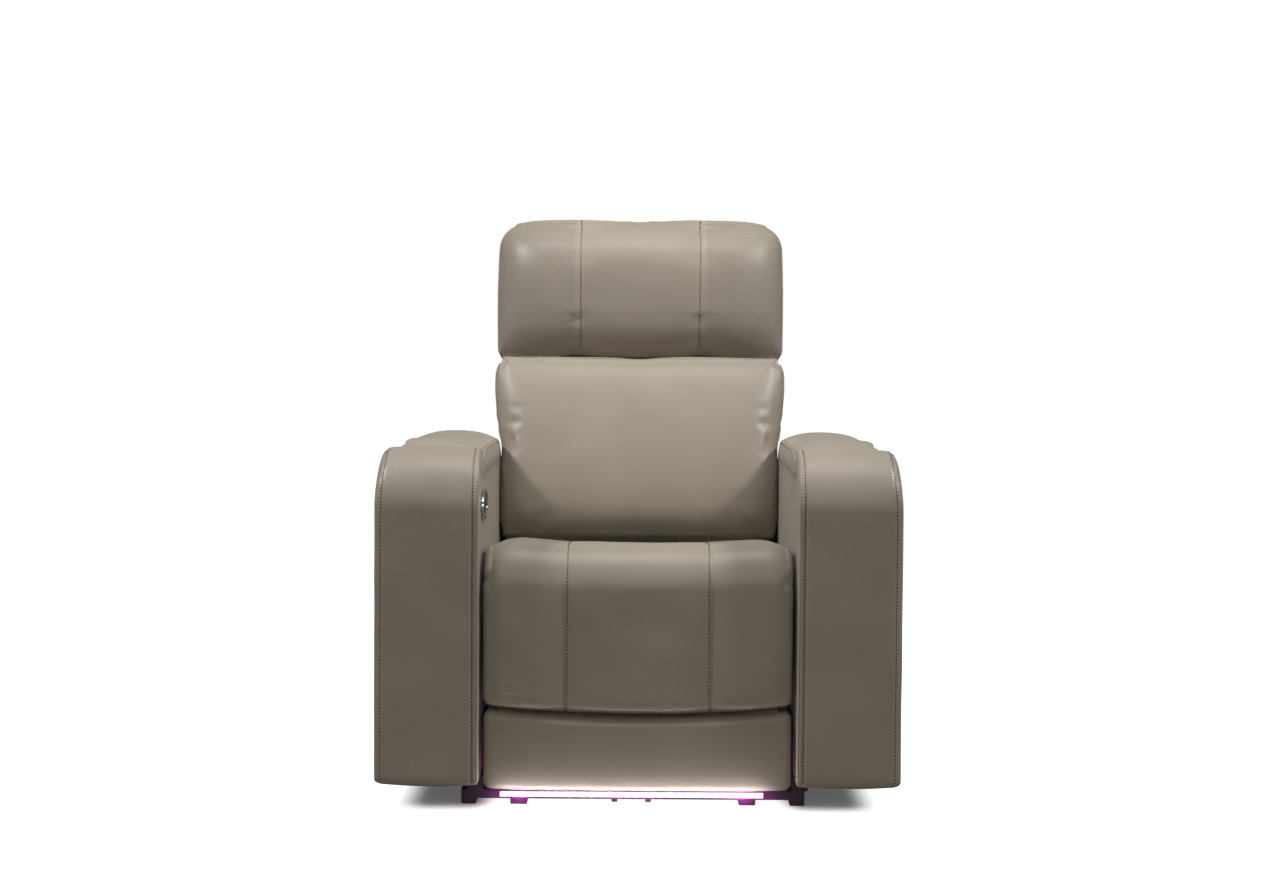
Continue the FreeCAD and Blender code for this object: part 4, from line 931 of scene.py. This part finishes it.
def upright_caps(rings, top_radius, bottom_radius):
    """Rounded top and bottom for a stack of plan rings."""
    low, high = [[np.column_stack([shape, np.full(len(shape), rim[0, 2] + side * step)])
                  for shape, step in cap_shapes(rim[:, :2], radius, radius, 0.003, 6, 8)]
                 for side, rim, radius in ((-1, rings[0], bottom_radius), (1, rings[-1], top_radius))]
    return low[::-1] + rings + high


BACK_HALF = ((0.09, 0.288), (0.12, 0.2945), (0.20, 0.2957), (0.29, 0.2962), (0.330, 0.3025), (0.370, 0.3065),
             (0.403, 0.3095), (0.433, 0.3105), (0.452, 0.3095), (0.464, 0.3065), (0.474, 0.301))
BACK_FRONT = ((0.09, -0.104), (0.12, -0.126), (0.17, -0.141), (0.23, -0.146), (0.30, -0.140), (0.36, -0.130),
              (0.41, -0.119), (0.445, -0.108), (0.464, -0.099), (0.474, -0.090))
BACK_TOP = 0.4735
BACK_EDGE_FOLDS = ((0.030, 0.075), (0.055, 0.045), (-0.028, 0.060), (0.008, 0.085))
BACK_TOP_FOLDS = ((0.02, 0.012), (0.05, 0.018), (-0.01, 0.010))
BACK_PINCH_HEIGHT = 0.335


def build_back():
    rings = []
    for height in dense_stations(0.097, BACK_TOP, [], coarse=0.008):
        front = spline(BACK_FRONT, height)
        rings.append(pad_ring(spline(BACK_HALF, height), front, min(-0.086, front + 0.05), -0.0165, height,
                              power=10.0))
    cushion = loft("back_cover", leaned(np.array(upright_caps(rings, 0.011, 0.012))))
    inflate(cushion, 2.0, 0.004)
    undulate(cushion, 0.0024, 5.0, 41)
    for side, sign in SIDES:
        spot, start = leaned([(sign * 0.290, -0.078, BACK_PINCH_HEIGHT),
                              (sign * 0.285, -0.092, BACK_PINCH_HEIGHT)])
        pinch(cushion, spot, 0.020, 0.0026, 6, turn=0.6, stretch=(1, 1, 0.7))
        for number, (rise, reach) in enumerate(BACK_EDGE_FOLDS):
            stop = leaned([(sign * (0.285 - reach), -0.125, BACK_PINCH_HEIGHT + rise)])[0]
            crease(cushion, start, stop, 0.0026, 0.0048, waver=0.001, seed=number)
    for across, drop in BACK_TOP_FOLDS:
        start, stop = leaned([(across, -0.100, 0.474), (across + 0.012, -0.112, 0.474 - drop * 2)])
        crease(cushion, start, stop, 0.0015, 0.0035)
    finish(cushion, "back", COVER, ["back_cushion"])
    tree = surface_tree(cushion)
    for side, sign in SIDES:
        edge = [(sign * (spline(BACK_HALF, height) - 0.001), -0.088 + 0.0015 * sin(height * 45), height)
                for height in np.linspace(0.12, 0.470, 90)]
        sew_welt(f"back_{side}_welt", leaned(edge), tree, 0.0020, "back", COVER)


HEAD_FRONT = ((0.490, -0.040), (0.499, -0.057), (0.515, -0.077), (0.538, -0.095), (0.570, -0.109),
              (0.610, -0.120), (0.650, -0.128), (0.690, -0.132), (0.722, -0.128), (0.752, -0.112),
              (0.778, -0.087), (0.801, -0.052))
HEAD_TOP = 0.800
HEAD_HALF = 0.3095
HEAD_CORNER = 0.054
HEAD_EASE = 0.024
HEAD_FOOT = 0.491
HEAD_SHOULDER = HEAD_TOP - 0.030
HEAD_PINCH_HEIGHT = 0.562
HEAD_FOLDS = ((0.040, 0.022), (-0.030, 0.016), (0.036, -0.010))


def head_half(height):
    """Half width of the headrest, with its upper corners rounded and its lower ones just eased."""
    over = height - (HEAD_TOP - 0.004 - HEAD_CORNER)
    if over > 0:
        over = min(over, HEAD_CORNER * 0.985)
        return HEAD_HALF - HEAD_CORNER + sqrt(HEAD_CORNER ** 2 - over ** 2)
    low = max(0.0, HEAD_FOOT + HEAD_EASE - height)
    return HEAD_HALF - HEAD_EASE + sqrt(max(0.0, HEAD_EASE ** 2 - low ** 2))


def build_headrest():
    heights = list(dense_stations(HEAD_FOOT + 0.006, HEAD_SHOULDER, [], coarse=0.006))
    heights += [HEAD_SHOULDER + 0.0215 * sin(pi / 2 * step / 12) for step in range(1, 13)]
    rings = [pad_ring(head_half(height), spline(HEAD_FRONT, height), -0.026, 0.0115, height, power=5.2,
                      fullness=2.6, count=300) for height in heights]
    cushion = loft("headrest_cover", leaned(np.array(upright_caps(rings, 0.007, 0.006))))
    places = places_of(cushion)
    away = np.abs(np.abs(places[:, 0]) - HEAD_SEAM_X)
    dip = 0.0050 * np.exp(-(away / 0.030) ** 2) * (places[:, 1] < leaned([(0, -0.04, 0.6)])[0][1])
    lift_by(cushion, -dip)
    inflate(cushion, 1.5, 0.003)
    undulate(cushion, 0.0016, 7.0, 51)
    seams = {}
    for side, sign in SIDES:
        line = [(sign * (HEAD_SEAM_X + 0.006 * (height - 0.62)), spline(HEAD_FRONT, height) - 0.01, height)
                for height in np.linspace(HEAD_FOOT + 0.008, HEAD_TOP - 0.004, 130)]
        line += [(sign * (HEAD_SEAM_X + 0.002), depth, HEAD_TOP + 0.004)
                 for depth in np.linspace(-0.070, -0.03, 12)]
        seams[side] = snapped(leaned(line), surface_tree(cushion))[0]
        press_groove(cushion, seams[side], 0.0058, 0.0023)
        spot = leaned([(sign * HEAD_SEAM_X, -0.104, HEAD_PINCH_HEIGHT)])[0]
        pinch(cushion, spot, 0.014, 0.0032, 5)
        for slide, rise in HEAD_FOLDS:
            stop = leaned([(sign * HEAD_SEAM_X + slide, -0.108, HEAD_PINCH_HEIGHT + rise)])[0]
            crease(cushion, spot, stop, 0.0016, 0.0036)
    finish(cushion, "headrest", "headrest_leather", ["headrest_cushion"])
    tree = surface_tree(cushion)
    for side, sign in SIDES:
        path = seams[side] - np.array([sign * 0.0045, 0, 0])
        row = stitches(f"headrest_{side}_stitching", path, tree, pitch=0.0062)
        finish(row, "headrest", "headrest_leather", material=THREAD)
    rim = [(head_half(height) - 0.001, -0.034, height)
           for height in np.linspace(HEAD_FOOT + 0.010, HEAD_TOP - 0.010, 70)]
    over_top = [(place, -0.036, HEAD_TOP + 0.002)
                for place in np.linspace(HEAD_HALF - 0.06, -HEAD_HALF + 0.06, 60)]
    other = [(-place, depth, height) for place, depth, height in rim[::-1]]
    sew_welt("headrest_welt", leaned(rim + over_top + other), tree, 0.0020, "headrest", "headrest_leather")


def slab(name, low, high, radius, bulge=0.003):
    """A padded panel in the leaning frame, between two corners, with soft edges all round."""
    left, right, foot, top = low[0] + radius, high[0] - radius, low[2] + radius, high[2] - radius
    corners = [(left, foot, 0.02), (right, foot, 0.02), (right, top, 0.02), (left, top, 0.02)]
    outline = rounded_outline(corners, 0.008)
    normals = outward_normals(outline)
    middle = outline.mean(axis=0)
    centre, half = (low[1] + high[1]) / 2, (high[1] - low[1]) / 2
    halves = []
    for side in (-1, 1):
        layers = []
        for step in range(6):
            angle = pi / 2 * step / 5
            layers.append((outline + normals * radius * cos(angle), half * sin(angle) * 0.999))
        for shrink in (0.93, 0.8, 0.6, 0.4, 0.2, 0.05):
            layers.append((middle + (outline - middle) * shrink, half + bulge * (1 - shrink ** 2)))
        halves.append([np.column_stack([shape[:, 0], np.full(len(shape), centre + side * depth), shape[:, 1]])
                       for shape, depth in layers])
    return loft(name, leaned(np.array(halves[0][::-1] + halves[1][1:])))


def build_back_shell():
    rear = slab("back_rear_cover", (-0.2855, 0.040, 0.002), (0.2855, 0.0525, 0.5605), 0.006)
    undulate(rear, 0.0012, 5.0, 61)
    finish(rear, "back", "rear_leather", ["back_rear_panel"])
    for side, sign in SIDES:
        inner, outer = sorted((sign * 0.2795, sign * 0.2895))
        gusset = slab(f"back_{side}_side_cover", (inner, -0.0145, 0.004), (outer, 0.0525, 0.492), 0.004, 0.0)
        replaced = ["back_side_gussets"] if sign > 0 else []
        finish(gusset, "back", "rear_leather", replaced)
    head = slab("headrest_rear_cover", (-0.298, 0.0235, 0.524), (0.298, 0.0365, 0.7760), 0.006, 0.0015)
    undulate(head, 0.0010, 6.0, 71)
    finish(head, "headrest", "rear_leather", ["headrest_rear_panel"])
    tree = surface_tree(rear)
    for name, place, heights in (("back_rear_welt", -0.286, (0.02, 0.28, 0.54)),
                                 ("back_rear_welt_right", 0.286, (0.02, 0.28, 0.54))):
        path = leaned([(place, 0.050, height) for height in heights])
        sew_welt(name, path, tree, 0.0019, "back", "rear_leather")


# Controls: domed buttons with a dished top

BUTTON_SIDES = 28
BUTTON_PROFILE = ((0, 1.0), (0.62, 1.0), (0.80, 0.99), (0.90, 0.95), (0.96, 0.86), (0.985, 0.74),
                  (0.955, 0.5), (0.93, 0.2))


def build_buttons():
    angles = np.linspace(0, 2 * np.pi, BUTTON_SIDES, endpoint=False)
    for name in [name for name in frame["nodes"] if name.startswith("button_")]:
        low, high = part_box(name)
        middle_y, middle_z = (low[1] + high[1]) / 2, (low[2] + high[2]) / 2
        rings = []
        for along, size in BUTTON_PROFILE:
            place = low[0] + (high[0] - low[0]) * along
            radius = size * (high[1] - low[1]) / 2
            rings.append(np.column_stack([np.full(BUTTON_SIDES, place), middle_y + radius * np.cos(angles),
                                          middle_z + radius * np.sin(angles)]))
        cap = loft("cap_" + name, rings)
        finish(cap, "key_" + name[len("button_"):], "button_plastic", [name])


# Lamps: a lens bead over each chip, and the light that the beads give

LAMP_MARGIN = 0.0025
BEAD_RADIUS = 0.0036
BEAD_DEPTH = 0.0026
BEAD_SIDES = 12
BEAD_ROWS = 5
SPILLS = ((-0.27, 0.02), (-0.225, 0.12), (-0.04, 0.04), (0.02, 0.04), (0.20, 0.12), (0.25, 0.02))


def new_light(name, kind, place, energy, colour):
    light = bpy.data.lights.new(name, kind)
    light.energy = energy
    light.color = colour
    holder = bpy.data.objects.new(name, light)
    holder.location = place
    SCENE.collection.objects.link(holder)
    return holder


def build_lamps():
    width = LAMPS_HIGH[0] - LAMPS_LOW[0]
    pitch = (width - 2 * LAMP_MARGIN) / (LAMP_COUNT - 1)
    middle_z = (LAMPS_LOW[2] + LAMPS_HIGH[2]) / 2
    across = [LAMPS_LOW[0] + LAMP_MARGIN + pitch * number for number in range(LAMP_COUNT)]
    vertices, faces = [], []
    for place in across:
        centre = np.array([place, LAMPS_HIGH[1], middle_z])
        base = len(vertices)
        for row in range(BEAD_ROWS):
            rise = pi / 2 * row / BEAD_ROWS
            for corner in range(BEAD_SIDES):
                angle = 2 * pi * corner / BEAD_SIDES
                vertices.append(centre + np.array([BEAD_RADIUS * cos(rise) * cos(angle),
                                                   -BEAD_DEPTH * sin(rise),
                                                   BEAD_RADIUS * cos(rise) * sin(angle)]))
        vertices.append(centre + np.array([0, -BEAD_DEPTH, 0]))
        faces += ring_faces(BEAD_ROWS, BEAD_SIDES, base)
        last = base + (BEAD_ROWS - 1) * BEAD_SIDES
        for corner in range(BEAD_SIDES):
            faces.append((last + BEAD_SIDES, last + corner, last + (corner + 1) % BEAD_SIDES))
        faces.append(tuple(range(base + BEAD_SIDES - 1, base - 1, -1)))
    beads = closed_mesh("lamp_beads", vertices, faces)
    finish(beads, "base", "lamp_lens", ["lamp_chips"])
    for number, place in enumerate(across):
        glow = new_light(f"lamp_light_{number}", "POINT", (place, PAD_FRONT_Y - 0.012, middle_z + 0.011),
                         0.024, (1.0, 0.90, 1.0))
        glow.data.shadow_soft_size = 0.002
    for place, energy in SPILLS:
        spill = new_light("lamp_spill", "POINT", (place, LAMPS_LOW[1] - 0.020, 0.008),
                          energy, (1.0, 0.08, 0.85))
        spill.data.shadow_soft_size = 0.006


# Floor, light and camera

FLOOR_SIZE = 30.0
SMOOTH = "SMOOTHSTEP"


def build_stage():
    corners = [(across * FLOOR_SIZE, along * FLOOR_SIZE, 0)
               for across, along in ((-1, -1), (1, -1), (1, 1), (-1, 1))]
    floor = new_mesh("floor", corners, [(0, 1, 2, 3)])
    material, tree, shader = new_material("floor_white_painted_shadow")
    seen = node(tree, "ShaderNodeLightPath").outputs["Is Camera Ray"]
    colour = mixed(tree, seen, (0.16, 0.16, 0.16, 1), (0.55, 0.55, 0.55, 1))
    split = node(tree, "ShaderNodeSeparateXYZ", {0: place_in(tree)})
    across, along = maths(tree, "ABSOLUTE", split.outputs["X"]), split.outputs["Y"]
    # Painted shadow: for camera rays the floor's emission drops from 1.0 to 0.10 in a patch under and beside each
    # arm, painted on top of the real shadow
    shadow_across_arms = maths(tree, "MULTIPLY", ranged(tree, across, 0.0, 1.0, 0.25, 0.32, SMOOTH),
                        ranged(tree, across, 1.0, 0.0, 0.39, 0.48, SMOOTH))
    shadow_along_arms = maths(tree, "MULTIPLY", ranged(tree, along, 0.0, 1.0, -0.47, -0.34, SMOOTH),
                       ranged(tree, along, 1.0, 0.0, 0.28, 0.42, SMOOTH))
    white = ranged(tree, maths(tree, "MULTIPLY", shadow_across_arms, shadow_along_arms), 1.0, 0.10, kind=SMOOTH)
    give(tree, shader, {"Roughness": 0.9, "Base Color": colour, "Emission Color": (1, 1, 1, 1),
                        "Emission Strength": maths(tree, "MULTIPLY", white, seen)})
    floor.data.materials.append(material)

    world = bpy.data.worlds.new("studio")
    SCENE.world = world
    world.use_nodes = True
    tree = world.node_tree
    seen = node(tree, "ShaderNodeLightPath").outputs["Is Camera Ray"]
    give(tree, tree.nodes["Background"], {"Color": (1, 1, 1, 1), "Strength": ranged(tree, seen, 0.13, 1.0)})

    def area(name, location, target, width, height, energy, colour=(1.0, 1.0, 1.0)):
        holder = new_light(name, "AREA", location, energy, colour)
        holder.data.shape = "RECTANGLE"
        holder.data.size, holder.data.size_y = width, height
        aim = Vector(target) - Vector(location)
        holder.rotation_euler = aim.to_track_quat("-Z", "Y").to_euler()

    area("key_above", (0.0, -0.38, 3.0), (0, -0.05, 0.5), 1.3, 0.8, 24)
    area("left_above", (-2.0, -0.62, 2.75), (0, 0.0, 0.6), 0.30, 0.30, 54)
    area("right_above", (2.0, -0.62, 2.75), (0, 0.0, 0.6), 0.30, 0.30, 54)
    area("front_fill", (0.0, -4.2, 1.8), (0, 0, 0.40), 2.6, 1.4, 32, (1.0, 0.96, 0.89))


CAMERA_DISTANCE = 4.40
CAMERA_HEIGHT = 0.893
CAMERA_FOCAL = 67.1
CAMERA_SENSOR = 36.0
CAMERA_REACH = 100
CAMERA_TILT = radians(2.55)
CAMERA_ROLL = radians(0.4)


def build_camera():
    data = bpy.data.cameras.new("camera")
    data.lens = CAMERA_FOCAL
    data.sensor_width = CAMERA_SENSOR
    data.clip_end = CAMERA_REACH
    camera = bpy.data.objects.new("camera", data)
    camera.location = (0.0, FRONT_Y - CAMERA_DISTANCE, CAMERA_HEIGHT)
    camera.rotation_mode = "XYZ"
    aim = Euler((pi / 2 - CAMERA_TILT, 0, 0)).to_matrix()
    roll = Matrix.Rotation(CAMERA_ROLL, 3, "Z")
    camera.rotation_euler = (aim @ roll).to_euler()
    SCENE.collection.objects.link(camera)
    SCENE.camera = camera


SCENE.view_settings.view_transform = "Standard"
build_camera()
build_stage()
for side, sign in SIDES:
    build_arm(side, sign)
    build_arm_pad(side, sign)
build_chaise()
build_lower_panel()
build_back()
build_headrest()
build_back_shell()
build_buttons()
build_lamps()
